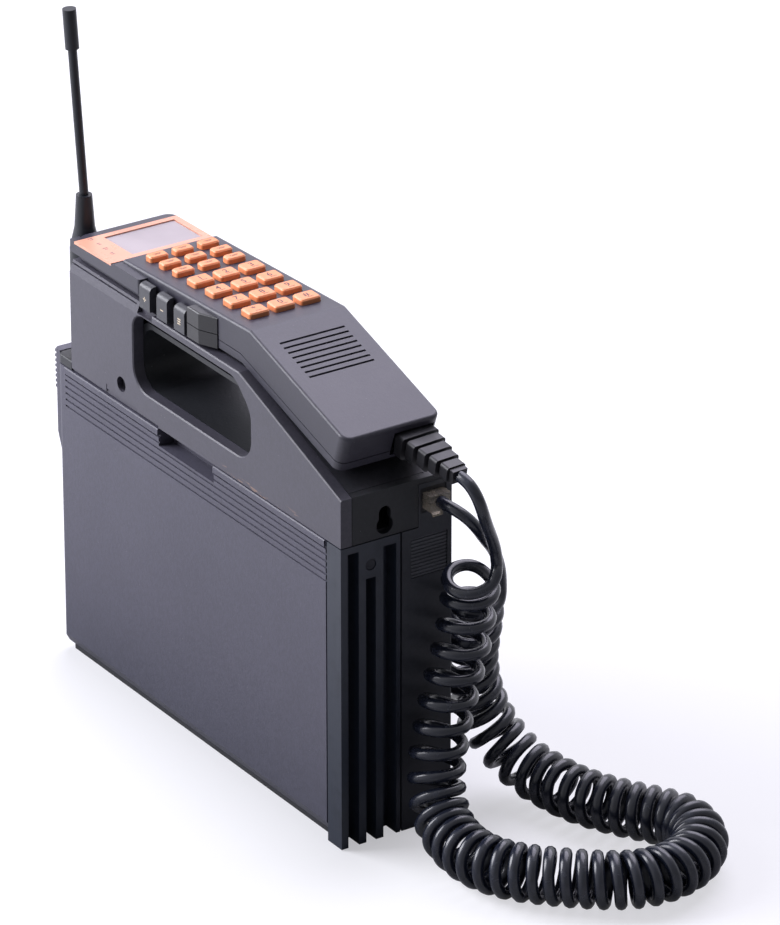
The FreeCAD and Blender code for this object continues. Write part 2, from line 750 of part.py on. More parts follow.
def make_transceiver():
    """Circuit board on the housing's posts, its two shield cans, and the ringer with its grille."""
    board_x = (along("board_start_x"), along(BOARD_END))
    board_z = ("board_edge_inset", f"{SEAM} - board_edge_inset")
    near = "board_y - board_thickness / 2"
    node("transceiver_board", box("board", board_x, (near, f"{near} + board_thickness"), board_z))
    span = f"({BOARD_END} - board_start_x)"
    cans = []
    for number, (low, high) in enumerate(CAN_SHARES):
        cans.append(box(f"can_{number}",
                        (f"{board_x[0]} + {low} * {span}", f"{board_x[0]} + {high} * {span}"),
                        (f"{near} - can_height", near),
                        (f"{board_z[0]} + can_margin", f"{board_z[1]} - can_margin")))
    node("shield_cans", group("shield_cans", *cans))

    middle_z = f"{GRILLE_FOOT} + grille_side / 2"
    face = "body_length - case_wall"
    speaker = cylinder("speaker", "X", (along(f"{face} - speaker_depth"), "grille_centre_y", middle_z),
                       "speaker_radius", "speaker_depth")
    node("ringer_speaker", speaker)

    plate = box("grille_plate",
                (along("body_length - grille_depth"), along("body_length - grille_depth + grille_plate")),
                ("grille_centre_y - grille_side / 2", "grille_centre_y + grille_side / 2"),
                (GRILLE_FOOT, f"{GRILLE_FOOT} + grille_side"))
    pitch = "(grille_side / grille_rib_count)"
    ribs = [
        box(f"grille_rib_{number}",
            (along("body_length - grille_depth"), along("body_length - grille_gap")),
            ("grille_centre_y - grille_side / 2", "grille_centre_y + grille_side / 2"),
            (f"{GRILLE_FOOT} + {number} * {pitch}", f"{GRILLE_FOOT} + ({number} + 0.5) * {pitch}"))
        for number in range(int(value("grille_rib_count")))
    ]
    node("speaker_grille", fuse("speaker_grille", plate, *ribs))


def make_socket_and_plug():
    """The modular socket in the tower and the clear plug that stands in it."""
    mouth = along("body_length - jack_inset")
    low_y = "jack_centre_y - jack_width / 2"
    high_y = "jack_centre_y + jack_width / 2"
    middle_z = f"{SEAM} + jack_rise"
    body = box("jack_body", (f"{mouth} - jack_depth", mouth), (low_y, high_y),
               (f"{middle_z} - jack_height / 2", f"{middle_z} + jack_height / 2"))
    throat = box("jack_throat",
                 (along("body_length + plug_out - plug_length - running_gap"), f"{mouth} + 1"),
                 ("jack_centre_y - plug_width / 2 - plug_gap", "jack_centre_y + plug_width / 2 + plug_gap"),
                 (f"{middle_z} - plug_height / 2 - plug_gap", f"{middle_z} + plug_height / 2 + plug_gap"))
    catch = box("jack_catch",
                (along("body_length + plug_out - plug_length + lever_root - jack_inset"), f"{mouth} + 1"),
                ("jack_centre_y - lever_width / 2 - plug_gap * 2",
                 "jack_centre_y + lever_width / 2 + plug_gap * 2"),
                (f"{middle_z} - jack_height / 2 + jack_inset", middle_z))
    node("modular_socket", cut("modular_socket", body, throat, catch))

    block = box("plug_block",
                (along("body_length + plug_out - plug_length"), along("body_length + plug_out")),
                ("jack_centre_y - plug_width / 2", "jack_centre_y + plug_width / 2"),
                (f"{middle_z} - plug_height / 2", f"{middle_z} + plug_height / 2"))
    hinge = "body_length + plug_out - plug_length + lever_root"
    thumb = along("body_length + plug_out - lever_thickness * 2")
    sole = f"{middle_z} - plug_height / 2"
    lever = prism("plug_lever", "XZ",
                  [(along(hinge), f"{sole} + plug_gap"),
                   (along(hinge), f"{sole} + plug_gap - lever_thickness"),
                   (along("body_length"), f"{sole} - lever_thickness * 1.5"),
                   (thumb, f"{sole} - lever_drop"),
                   (thumb, f"{sole} - lever_drop + lever_thickness"),
                   (along("body_length"), f"{sole} - lever_thickness / 2"),
                   (along(f"{hinge} + lever_thickness * 3"), f"{sole} + plug_gap")],
                  "jack_centre_y - lever_width / 2", "jack_centre_y + lever_width / 2")
    node("modular_plug", fuse("modular_plug", block, lever))


# ---------------------------------------------------------------------------------------------
# Console: side cover, body with the carrying-handle opening, and the tray that the handset lies in
# ---------------------------------------------------------------------------------------------
def tray_top(x):
    """Height of the tray's floor at a length beyond its bend."""
    return f"({TRAY} - (({x}) - slope_x) * (bar_rise - end_rise) / (body_length - slope_x))"


def console_profile(start):
    """Side view of the console from its start: foot, end, slope, grip bar and the raised rim."""
    return [
        (along(start), f"{SEAM} + seam_gap"), (along("body_length"), f"{SEAM} + seam_gap"),
        (along("body_length"), f"{SEAM} + end_rise"), (along("slope_x"), TRAY),
        (along("rim_end_x"), TRAY), (along("rim_end_x"), f"{SEAM} + rim_rise"),
        (along(start), f"{SEAM} + rim_rise"),
    ]


def handle_opening(name, drop, grow, low, high):
    """The carrying-handle opening as a tool: its top is lowered by drop and all of it grown by grow."""
    top = f"{SEAM} + opening_top_rise - {drop} + {grow}"
    side = f"{SEAM} + opening_side_rise - {drop} + {grow}"
    tool = prism(name, "XZ",
                 [(along(f"opening_start_x - {grow}"), f"{SEAM} + opening_rise - {grow}"),
                  (along(f"opening_end_x + {grow}"), f"{SEAM} + opening_rise - {grow}"),
                  (along(f"opening_end_x + {grow}"), side),
                  (along(f"opening_end_x + {grow} - opening_slant"), top),
                  (along(f"opening_start_x - {grow}"), top)],
                 low, high)
    corner_x = value("opening_start_x") - value("body_length") / 2
    middle_z = value("body_height") + (value("opening_rise") + value("opening_top_rise")) / 2
    tool = round_edges(tool, "opening_top_round",
                       lambda middle, way: runs_along(way, "y") and (
                           middle.x < corner_x + 1 and middle.z > middle_z))
    return round_edges(tool, "opening_round",
                       lambda middle, way: runs_along(way, "y") and not (
                           middle.x < corner_x + 10 and middle.z > middle_z))


def make_side_cover():
    """The broad side's cover plate, with the handle opening, a bevelled rim and a screw hole."""
    face = f"-{HALF}"
    plate = prism("side_cover", "XZ", console_profile("console_x"), face, f"{face} + cover_thickness")
    band = prism("rim_bevel", "YZ",
                 [(f"{face} - 1", f"{SEAM} + rim_rise - rim_slant_height"),
                  (face, f"{SEAM} + rim_rise - rim_slant_height"),
                  (f"{face} + rim_slant", f"{SEAM} + rim_rise"),
                  (f"{face} + rim_slant", f"{SEAM} + rim_rise + 1"),
                  (f"{face} - 1", f"{SEAM} + rim_rise + 1")],
                 along("console_x - 1"), along("rim_end_x"))
    notch = box("rim_notch", (along("rim_end_x"), along("rim_notch_end_x")),
                (f"{face} - 1", f"{face} + rim_notch_depth"), (f"{TRAY} - rim_notch_height", f"{TRAY} + 1"))
    opening = handle_opening("cover_opening", "0", "0", f"{face} - 1", f"{face} + cover_thickness + 1")
    access = cylinder("access_hole", "Y", (along("access_x"), f"{face} - 1", f"{SEAM} + access_rise"),
                      "access_radius", "access_depth + 1")
    screw_hole = cylinder("access_screw_hole", "Y", (along("access_x"), face, f"{SEAM} + access_rise"),
                          "screw_radius + screw_gap", "cover_thickness + 1")
    line_top = f"{SEAM} + rim_rise - rim_line_drop"
    line = box("rim_line", (along("console_x - 1"), along("rim_end_x - rim_slant")),
               (f"{face} - 1", f"{face} + rim_slant + rim_line_depth"),
               (f"{line_top} - rim_line_width", line_top))
    depth = (f"{face} - 1", f"{face} + foot_recess_depth")
    relief = box("foot_relief", (along("console_x - 1"), along("finger_start_x")), depth,
                 (SEAM, f"{SEAM} + foot_relief_height"))
    recess = box("foot_recess", (along("foot_recess_start_x"), along("foot_recess_end_x")), depth,
                 (SEAM, f"{SEAM} + foot_recess_height"))
    mark = box("foot_mark",
               (along("foot_recess_start_x"), along("foot_recess_start_x + foot_mark_width")), depth,
               (SEAM, f"{SEAM} + foot_mark_height"))
    near = 0.01 - value("body_width") / 2
    foot = value("body_height") + value("opening_rise") - 0.05
    start = value("opening_start_x") - value("body_length") / 2 - 0.1
    framed = round_edges(cut("framed_cover", plate, opening), "cover_bevel",
                         lambda middle, way: middle.y < near and middle.z > foot and middle.x > start,
                         "Chamfer", curved=True)
    node("console_side_cover",
         cut("side_cover", framed, band, notch, line, relief, recess, mark, access, screw_hole))


def make_console_body():
    """The console's main moulding: a shell open to the side cover, with rims round the tray."""
    start = "console_x - seam_gap"
    face = f"-{HALF} + cover_thickness + running_gap"
    back = f"{HALF} - rim_width"
    blank = prism("console_blank", "XZ", console_profile(start), face, HALF)
    floor = f"{TRAY} - tray_thickness - running_gap"
    seat = prism("tray_seat", "XZ",
                 [(along(f"{start} + console_wall"), floor), (along("slope_x"), floor),
                  (along("body_length - end_wall"),
                   f"{tray_top('body_length - end_wall')} - tray_thickness - running_gap"),
                  (along("body_length - end_wall"), f"{SEAM} + rim_rise + 1"),
                  (along(f"{start} + console_wall"), f"{SEAM} + rim_rise + 1")],
                 f"-{HALF}", back)
    roof = f"{floor} - console_wall"
    hollow = prism("console_hollow", "XZ",
                   [(along(f"{start} + console_wall"), f"{SEAM} + seam_gap + console_wall"),
                    (along("body_length - end_wall"), f"{SEAM} + seam_gap + console_wall"),
                    (along("body_length - end_wall"),
                     f"{tray_top('body_length - end_wall')} - tray_thickness - running_gap - console_wall"),
                    (along("slope_x"), roof), (along(f"{start} + console_wall"), roof)],
                   f"-{HALF}", back)
    sleeve = handle_opening("opening_sleeve", "grip_drop", "console_wall", f"-{HALF} - 1", f"{HALF} + 1")
    opening = handle_opening("body_opening", "grip_drop", "0", f"-{HALF} - 1", f"{HALF} + 1")
    boss_start = (along("access_x"), face, f"{SEAM} + access_rise")
    boss = cylinder("cover_boss", "Y", boss_start, "post_radius", f"{back} - ({face})")
    boss_hole = cylinder("cover_boss_hole", "Y", boss_start, "screw_radius + screw_gap", "screw_length + 2")
    ear_room = cylinder("ear_cup_room", "Z", (along("ear_cup_x"), "0", f"{roof} - 1"),
                        "ear_cup_radius + cup_wall + running_gap", "console_wall + 3")
    mouth_half = "(mouth_cup_length / 2 + cup_wall + running_gap)"
    mouth_room = box("mouth_cup_room", (along(f"{MOUTH} - {mouth_half}"), along(f"{MOUTH} + {mouth_half}")),
                     ("-mouth_cup_width / 2 - cup_wall - running_gap",
                      "mouth_cup_width / 2 + cup_wall + running_gap"),
                     (f"{tray_top(MOUTH)} - mouth_cup_depth - 12", TRAY))
    tower_room = box("tower_room",
                     (along("body_length - tower_length - running_gap"), along("body_length + 1")),
                     ("tower_y - running_gap", f"{HALF} + 1"), (SEAM, f"{SEAM} + tower_rise + running_gap"))
    key_x = along("body_length - end_wall - 1")
    keyhole = cylinder("keyhole_round", "X", (key_x, "-keyhole_y", f"{SEAM} + keyhole_rise"),
                       "keyhole_radius", "end_wall + 2")
    neck_top = f"{SEAM} + keyhole_rise + keyhole_length - keyhole_neck"
    keyhole_neck = box("keyhole_neck", (key_x, along("body_length + 1")),
                       ("-keyhole_y - keyhole_neck", "-keyhole_y + keyhole_neck"),
                       (f"{SEAM} + keyhole_rise", neck_top))
    keyhole_end = cylinder("keyhole_end", "X", (key_x, "-keyhole_y", neck_top), "keyhole_neck",
                           "end_wall + 2")
    plunger_room = cylinder("plunger_room", "Z", (along("plunger_x"), "plunger_y", f"{roof} - 1"),
                            "plunger_radius + cup_gap", "console_wall + 3")
    ledge = box("ledge_block", (along("0"), along(start)), (f"-{HALF}", HALF),
                (f"{SEAM} + seam_gap", f"{SEAM} + ledge_rise"))
    edge_x = 1 - value("body_length") / 2
    ledge = round_edges(ledge, "case_corner",
                        lambda middle, way: runs_along(way, "z") and middle.x < edge_x)
    ledge_top = value("body_height") + value("ledge_rise") - 0.01
    ledge_end = value("console_x") - value("seam_gap") - value("body_length") / 2 - 0.01
    ledge = round_edges(ledge, "rail_edge",
                        lambda middle, way: middle.z > ledge_top and middle.x < ledge_end, curved=True)
    stem_hole = cylinder("stem_hole", "Z", (along("antenna_x"), ANTENNA_Y, SEAM),
                         "antenna_stem_radius + screw_gap", "ledge_rise + 1")
    shell = cut("console", blank, seat, cut("console_room", hollow, sleeve), opening, ear_room, mouth_room)
    joined = fuse("console", shell, boss, ledge)
    node("console_body", cut("console_body", joined, boss_hole, tower_room, keyhole, keyhole_neck,
                             keyhole_end, plunger_room, stem_hole))


def make_cradle():
    """The tray under the handset, bent like the console, with cups for earpiece and mouthpiece."""
    start = "console_x - seam_gap + console_wall + running_gap"
    end = "body_length - end_wall - running_gap"
    low_y = f"-{HALF} + cover_thickness + running_gap"
    high_y = f"{HALF} - rim_width - running_gap"
    plate = prism("tray_plate", "XZ",
                  [(along(start), f"{TRAY} - tray_thickness"),
                   (along("slope_x"), f"{TRAY} - tray_thickness"),
                   (along(end), f"{tray_top(end)} - tray_thickness"), (along(end), tray_top(end)),
                   (along("slope_x"), TRAY), (along(start), TRAY)],
                  low_y, high_y)
    ear_place = (along("ear_cup_x"), "0", f"{TRAY} - ear_cup_depth - cup_wall")
    ear_cup = cylinder("ear_cup", "Z", ear_place, "ear_cup_radius + cup_wall",
                       "ear_cup_depth + cup_wall - 1")
    ear_hollow = cylinder("ear_hollow", "Z", (ear_place[0], "0", f"{TRAY} - ear_cup_depth"),
                          "ear_cup_radius", "ear_cup_depth + 1")
    cup_half = "mouth_cup_length / 2"
    mouth_cup = mouth_block("mouth_cup", f"{cup_half} + cup_wall", "mouth_cup_width / 2 + cup_wall",
                            over_tray("-mouth_cup_depth - cup_wall"), over_tray("-1"))
    mouth_hollow = mouth_block("mouth_hollow", cup_half, "mouth_cup_width / 2",
                               over_tray("-mouth_cup_depth"), over_tray("1"))
    guide = cylinder("plunger_guide", "Z",
                     (along("plunger_x"), "plunger_y", f"{TRAY} - tray_thickness - 1"),
                     "plunger_radius + plunger_gap", "tray_thickness + 2")
    joined = fuse("cradle", plate, ear_cup, mouth_cup)
    node("handset_cradle", cut("handset_cradle", joined, ear_hollow, mouth_hollow, guide))

    plunger_foot = f"{TRAY} - plunger_stem"
    stem = cylinder("plunger_pin", "Z", (along("plunger_x"), "plunger_y", plunger_foot), "plunger_radius",
                    "plunger_stem + handset_gap - running_gap")
    collar = cylinder("plunger_collar", "Z",
                      (along("plunger_x"), "plunger_y", f"{plunger_foot} + 0.6"), "plunger_radius + 1.2",
                      "0.8")
    node("hook_plunger", fuse("hook_plunger", stem, collar))


def over_tray(shift):
    """Height over the tray's sloping floor, as a function of the length."""
    return lambda x: f"{tray_top(x)} + ({shift})"


def over_underside(shift):
    """Height over the handset's sloping underside, as a function of the length."""
    return lambda x: (f"{UNDER} + ({shift}) + under_front_lift"
                      f" * (({x}) - {UNDER_BEND}) / ({UNDER_FRONT} - {UNDER_BEND})")


def mouth_block(name, half_length, half_width, low, high):
    """An upright block about the mouthpiece; its foot and top are heights as functions of the length."""
    start = f"{MOUTH} - ({half_length})"
    end = f"{MOUTH} + {half_length}"
    return prism(name, "XZ",
                 [(along(start), low(start)), (along(end), low(end)),
                  (along(end), high(end)), (along(start), high(start))],
                 f"-({half_width})", half_width)


def make_case_screws():
    """Two pan-head screws: one holds the heat sink, one the console's side cover."""
    slot_middle = f"-{HALF} + skin + slot_one + fin_one + slot_two / 2"
    screws = []
    places = (
        ("X", (along("body_length - screw_sink"), slot_middle, SINK_SCREW), -1),
        ("Y", (along("access_x"), f"-{HALF} + access_depth", f"{SEAM} + access_rise"), 1),
    )
    for axis, place, inward in places:
        shift = "XYZ".index(axis)
        head = list(place)
        shank = list(place)
        if inward > 0:
            head[shift] = f"{place[shift]} - screw_head_height"
        else:
            shank[shift] = f"{place[shift]} - screw_length"
        screws.append(fuse(f"screw_{axis}",
                           cylinder(f"screw_head_{axis}", axis, head, "screw_head_radius",
                                    "screw_head_height"),
                           cylinder(f"screw_shank_{axis}", axis, shank, "screw_radius", "screw_length")))
    node("case_screws", group("case_screws", *screws))


# ---------------------------------------------------------------------------------------------
# Antenna
# ---------------------------------------------------------------------------------------------
def leaning_rod(name, radius, start, length):
    """A rod on the whip's own line, from a distance above the boot's top."""
    lean = "sin(whip_lean * 1deg)"
    boot_foot = f"{SEAM} + ledge_rise + collar_start + collar_height + neck_height"
    boot_top = f"({boot_foot} + boot_low + boot_taper + boot_high)"
    piece = DOC.addObject("Part::Cylinder", name)
    angle = math.radians(value("whip_bearing"))
    side = Vector(-math.sin(angle), math.cos(angle), 0)
    piece.Placement = FreeCAD.Placement(Vector(), Rotation(side, value("whip_lean")))
    return bind(piece, Radius=radius, Height=length,
                x=f"{along('antenna_x')} + ({start}) * {lean} * cos(whip_bearing * 1deg)",
                y=f"{ANTENNA_Y} + ({start}) * {lean} * sin(whip_bearing * 1deg)",
                z=f"{boot_top} + ({start}) * cos(whip_lean * 1deg)")


def make_antenna():
    """Threaded socket on the ledge, and the antenna that turns on it: collar, boot, whip and tip."""
    axis = (along("antenna_x"), ANTENNA_Y)
    ledge = f"{SEAM} + ledge_rise"
    collar_foot = f"{ledge} + collar_start"
    flange = cylinder("socket_flange", "Z", (*axis, ledge), "antenna_jack_flange", "1.4")
    barrel = cylinder("socket_barrel", "Z", (*axis, ledge), "antenna_jack_radius",
                      "collar_start + antenna_jack_inside")
    stem = cylinder("socket_stem", "Z", (*axis, f"{SEAM} + seam_gap"), "antenna_stem_radius", "ledge_rise")
    node("antenna_connector", fuse("antenna_connector", flange, barrel, stem))

    skirt = cone("collar_skirt", (*axis, collar_foot), "collar_radius - 0.9", "collar_radius", "1.6")
    sleeve = cylinder("collar_sleeve", "Z", (*axis, f"{collar_foot} + 1.6"), "collar_radius",
                      "collar_height - 1.6")
    bore = cylinder("collar_bore", "Z", (*axis, f"{collar_foot} - 1"), "antenna_jack_radius + collar_gap",
                    "antenna_jack_inside + 1 + running_gap")
    throat = cylinder("collar_throat", "Z", (*axis, collar_foot), "neck_radius", "collar_height + 1")
    node("antenna_collar", cut("antenna_collar", fuse("collar", skirt, sleeve), bore, throat))

    neck_foot = f"{collar_foot} + antenna_jack_inside + running_gap * 2"
    boot_foot = f"{collar_foot} + collar_height + neck_height"
    neck = cylinder("boot_neck", "Z", (*axis, neck_foot), "neck_radius", f"{boot_foot} - ({neck_foot}) + 1")
    low = cylinder("boot_low_part", "Z", (*axis, boot_foot), "boot_radius", "boot_low")
    taper = cone("boot_taper_part", (*axis, f"{boot_foot} + boot_low"), "boot_radius", "boot_waist_radius",
                 "boot_taper")
    high = cone("boot_high_part", (*axis, f"{boot_foot} + boot_low + boot_taper"), "boot_waist_radius",
                "boot_top_radius", "boot_high")
    whip = leaning_rod("whip_rod", "whip_radius", "-whip_root", "whip_length + whip_root * 2")
    node("antenna_boot", cut("antenna_boot", fuse("antenna_boot", neck, low, taper, high), whip))
    node("antenna_whip", whip)
    tip = leaning_rod("tip_rod", "tip_radius", "whip_length", "tip_length")
    node("antenna_tip", cut("antenna_tip", tip, whip))


# ---------------------------------------------------------------------------------------------
# Handset
# ---------------------------------------------------------------------------------------------
def shoulder(x):
    """Height of the display end's top face at a length."""
    return f"({UNDER} + shoulder_lift + (({x}) - handset_x) * shoulder_slope)"


def deck(x):
    """Height of the keypad's face at a length."""
    return f"({UNDER} + deck_lift + (({x}) - step_x) * (bend_lift - deck_lift) / ({BEND} - step_x))"


def round_corners(shell):
    """Round the four corners that the handset's plan view shows, front ones along their slant."""
    return round_edges(shell, "shell_corner", lambda middle, way: abs(way.z) > 0.9)


def rail_block(name, low, high):
    """The grip block at the end of the side rail, bevelled in plan; it meets the shell's side."""
    return prism(name, "XY",
                 [(along("block_x"), "-handset_half"), (along("block_x"), "-handset_half - rail_out"),
                  (along("rail_end_x - rail_bevel"), "-handset_half - rail_out"),
                  (along("rail_end_x"), "-handset_half - 0.6"), (along("rail_end_x"), "-handset_half")],
                 low, high)


def key_places():
    """Name, length along X, centre X, centre Y and width of each of the twenty-one keys."""
    places = []
    for row in range(3):
        for column in range(3):
            places.append((f"function_key_{row * 3 + column + 1}", "function_key_length",
                           f"function_first_x + {row} * function_pitch",
                           f"key_centre_y + {column - 1} * key_column_pitch", "function_key_width"))
    for row in range(4):
        for column in range(3):
            label = "123456789*0#"[row * 3 + column]
            label = {"*": "star", "#": "hash"}.get(label, label)
            places.append((f"digit_key_{label}", "digit_key_length",
                           f"digit_first_x + {row} * digit_pitch",
                           f"key_centre_y + {column - 1} * key_column_pitch", "key_width"))
    return places


def upright_block(name, centre_x, centre_y, length, width, low, high, radius=None):
    """A box about a vertical line, with round upright edges where a radius is given."""
    block = box(name, (along(f"{centre_x} - ({length}) / 2"), along(f"{centre_x} + ({length}) / 2")),
                (f"{centre_y} - ({width}) / 2", f"{centre_y} + ({width}) / 2"), (low, high))
    if radius:
        block = round_edges(block, radius, lambda middle, way: runs_along(way, "z"))
    return block


def make_keys():
    """Keypad: rounded caps, each with a flange under the deck, and the board that they press."""
    for label, length, x, y, width in key_places():
        top = f"{deck(x)} + key_proud"
        under = f"{deck(x)} - handset_wall - flange_gap"
        cap = upright_block(label + "_cap", x, y, length, width, f"{under} - key_flange_thickness", top,
                            "key_round")
        ceiling = current(cap).BoundBox.ZMax
        cap = round_edges(cap, "key_bevel",
                          lambda middle, way, limit=ceiling: middle.z > limit - 0.01, "Chamfer")
        flange = upright_block(label + "_flange", x, y, f"{length} + 2 * key_flange",
                               f"{width} + 2 * key_flange",
                               f"{under} - key_flange_thickness", under)
        node(label, fuse(label, cap, flange))

    start = "function_first_x - function_key_length / 2 - keyboard_margin"
    end = "digit_first_x + 3 * digit_pitch + digit_key_length / 2 + keyboard_margin"
    depth = "handset_wall + flange_gap + key_flange_thickness + key_travel + flange_gap"
    half = "key_column_pitch + key_width / 2 + keyboard_side"
    board = prism("keypad_plate", "XZ",
                  [(along(start), f"{deck(start)} - ({depth}) - keyboard_thickness"),
                   (along(end), f"{deck(end)} - ({depth}) - keyboard_thickness"),
                   (along(end), f"{deck(end)} - ({depth})"), (along(start), f"{deck(start)} - ({depth})")],
                  f"key_centre_y - ({half})", f"key_centre_y + {half}")
    node("keypad_board", board)
    posts = []
    for number, x in enumerate((f"{start} + keyboard_post_inset", f"{end} - keyboard_post_inset")):
        for side in (-1, 1):
            foot = (along(x), f"key_centre_y + {side} * ({half} - keyboard_post_inset)",
                    f"{deck(x)} - ({depth}) + screw_gap")
            posts.append(cylinder(f"keypad_post_{number}_{side + 1}", "Z", foot, "keyboard_post_radius",
                                  f"{depth} - handset_wall / 2"))
    return posts


def make_side_keys():
    """Three volume and menu keys on the near side, each on a stem through the shell's wall."""
    rooms = []
    for number, label in enumerate(("volume_up_key", "volume_down_key", "menu_key")):
        x = f"side_key_first_x + {number} * side_key_pitch"
        outer = "-handset_half - rail_out - side_key_proud"
        inner = "-handset_half - side_key_travel - running_gap"
        top = f"{UNDER} + side_key_top_lift"
        low = f"{top} - side_key_height"
        block = box(label + "_block",
                    (along(f"{x} - side_key_length / 2"), along(f"{x} + side_key_length / 2")),
                    (outer, inner), (low, top))
        near = -value("handset_half") - value("rail_out")
        ceiling = current(block).BoundBox.ZMax
        block = round_edges(block, "side_key_round",
                            lambda middle, way, limit=ceiling: middle.y < near and middle.z > limit - 0.01
                            and runs_along(way, "x"))
        stem_z = f"{UNDER} + parting_lift + side_key_stem / 2 + 1.2"
        stem = box(label + "_stem", (along(f"{x} - side_key_stem / 2"), along(f"{x} + side_key_stem / 2")),
                   (f"{inner} - 1", "-handset_half + handset_wall + flange_gap + key_flange_thickness"),
                   (f"{stem_z} - side_key_stem / 2", f"{stem_z} + side_key_stem / 2"))
        catch = box(label + "_catch",
                    (along(f"{x} - side_key_stem / 2 - key_flange"),
                     along(f"{x} + side_key_stem / 2 + key_flange")),
                    ("-handset_half + handset_wall + flange_gap",
                     "-handset_half + handset_wall + flange_gap + key_flange_thickness"),
                    (f"{stem_z} - side_key_stem / 2 - 0.6", f"{stem_z} + side_key_stem / 2 + key_flange"))
        node(label, fuse(label, block, stem, catch))
        rooms.append(box(label + "_room",
                         (along(f"{x} - side_key_stem / 2 - key_gap"),
                          along(f"{x} + side_key_stem / 2 + key_gap")),
                         ("-handset_half - 1", "-handset_half + handset_wall + 1"),
                         (f"{stem_z} - side_key_stem / 2 - key_gap",
                          f"{stem_z} + side_key_stem / 2 + key_gap")))
    return rooms


def on_top_rim(middle, way):
    """True for the edges that run round the top of the upper shell, ends included."""
    under = value("body_height") + value("bar_rise") + value("handset_gap")
    length = value("body_length")
    x = middle.x + length / 2
    bend = value("slope_x") + value("bend_shift")
    front = length - value("front_setback")
    if x < value("step_x") + 3:
        return False
    rise = (value("bend_lift") - value("deck_lift")) / (bend - value("step_x"))
    fall = (value("bend_lift") - value("front_lift")) / (front - bend)
    top = under + value("bend_lift") - (rise * (bend - x) if x < bend else fall * (x - bend))
    outside = abs(middle.y) > value("handset_half") - value("shell_corner") or x > front - 0.1
    return outside and abs(middle.z - top) < 0.3


def make_top_shell(posts, stem_rooms):
    """Upper half of the handset: display shoulder, keypad deck, sloped mouthpiece end, side rail."""
    seam = "parting_gap / 2"
    half = "handset_half"
    profile = prism("top_profile", "XZ",
                    [(along("handset_x"), f"{UNDER} + parting_lift + {seam}"),
                     (along(PARTING_BEND), f"{UNDER} + parting_lift + {seam}"),
                     (along(PARTING_FRONT), f"{UNDER} + parting_front_lift + {seam}"),
                     (along(FRONT), f"{UNDER} + front_lift"), (along(BEND), f"{UNDER} + bend_lift"),
                     (along("step_x + 2"), deck("step_x + 2")), (along("step_x"), shoulder("step_x")),
                     (along("handset_x"), shoulder("handset_x"))],
                    f"-{half}", half)
    blank = round_edges(round_corners(profile), "shell_edge", on_top_rim, curved=True)
    near = value("handset_half")
    wall = "handset_wall"
    room = prism("top_room", "XZ",
                 [(along(f"handset_x + {wall}"), f"{UNDER} + parting_lift - 1"),
                  (along(PARTING_BEND), f"{UNDER} + parting_lift - 1"),
                  (along(f"{PARTING_FRONT} - {wall}"), f"{UNDER} + parting_front_lift - 1"),
                  (along(f"{FRONT} - {wall} * 1.6"), f"{UNDER} + front_lift - {wall}"),
                  (along(f"{BEND} - parting_gap"), f"{deck(BEND + ' - parting_gap')} - {wall}"),
                  (along("step_x + 2.4"), f"{deck('step_x + 2.4')} - {wall}"),
                  (along("step_x + 0.4"), f"{shoulder('step_x')} - {wall}"),
                  (along(f"handset_x + {wall}"), f"{shoulder('handset_x')} - {wall}")],
                 f"-{half} + {wall}", f"{half} - {wall}")
    rail = prism("side_rail", "XZ",
                 [(along("handset_x"), f"{UNDER} + rail_under_lift"),
                  (along("side_key_first_x - side_key_length / 2 - key_gap * 3"),
                   f"{UNDER} + rail_under_lift"),
                  (along("side_key_first_x - side_key_length / 2 - key_gap * 3"),
                   f"{shoulder('step_x')} + 1"),
                  (along("step_x + 1"), f"{shoulder('step_x')} + 1"), (along("step_x"), shoulder("step_x")),
                  (along("handset_x"), shoulder("handset_x"))],
                 f"-{half} - rail_out", f"-{half} + 1")
    rail = round_edges(rail, "shell_edge",
                       lambda middle, way: middle.y < -near - 1 and runs_along(way, "z"))
    block = rail_block("rail_block_upper", f"{UNDER} + block_parting_lift + {seam}",
                       f"{deck('block_x')} - block_drop")
    ceiling = current(block).BoundBox.ZMax - 0.01
    block = round_edges(block, "rail_edge",
                        lambda middle, way: middle.z > ceiling and middle.y < -near - 1)
    holes = [
        upright_block(label + "_hole", x, y, f"{length} + 2 * key_gap", f"{width} + 2 * key_gap",
                      f"{deck(x)} - handset_wall - 2", f"{deck(x)} + 2", "key_hole_round")
        for label, length, x, y, width in key_places()
    ]
    louvres = []
    for number in range(int(value("louvre_count"))):
        x = f"louvre_x + {number} * louvre_pitch"
        face = f"({UNDER} + bend_lift - ({x} - {BEND}) * (bend_lift - front_lift) / ({FRONT} - {BEND}))"
        louvres.append(box(f"louvre_{number}", (along(x), along(f"{x} + louvre_width")),
                           ("-louvre_length / 2", "louvre_length / 2"),
                           (f"{face} - handset_wall * 2", f"{face} + 2")))
    bezel_room = bezel_prism("bezel_room", "bezel_start_x - plug_gap", "bezel_end_x + plug_gap",
                             "-handset_half - rail_out - 1", "handset_half - bezel_inset + plug_gap",
                             "bezel_proud - bezel_thickness", "3")
    light = box("display_light", (along("window_start_x + 1.5"), along("window_end_x - 1.5")),
                ("window_low_y + 1.5", "window_high_y - 1.5"),
                (f"{shoulder('handset_x')} - handset_wall - 2", f"{shoulder('step_x')} + 2"))
    relief_hole = relief_opening("relief_hole_upper")
    shell = fuse("top_shell", cut("top_shell", blank, room), rail, block, *posts)
    openings = fuse("top_openings", *holes, *louvres, *stem_rooms, light, relief_hole)
    node("handset_top_shell", cut("handset_top_shell", shell, openings, bezel_room))


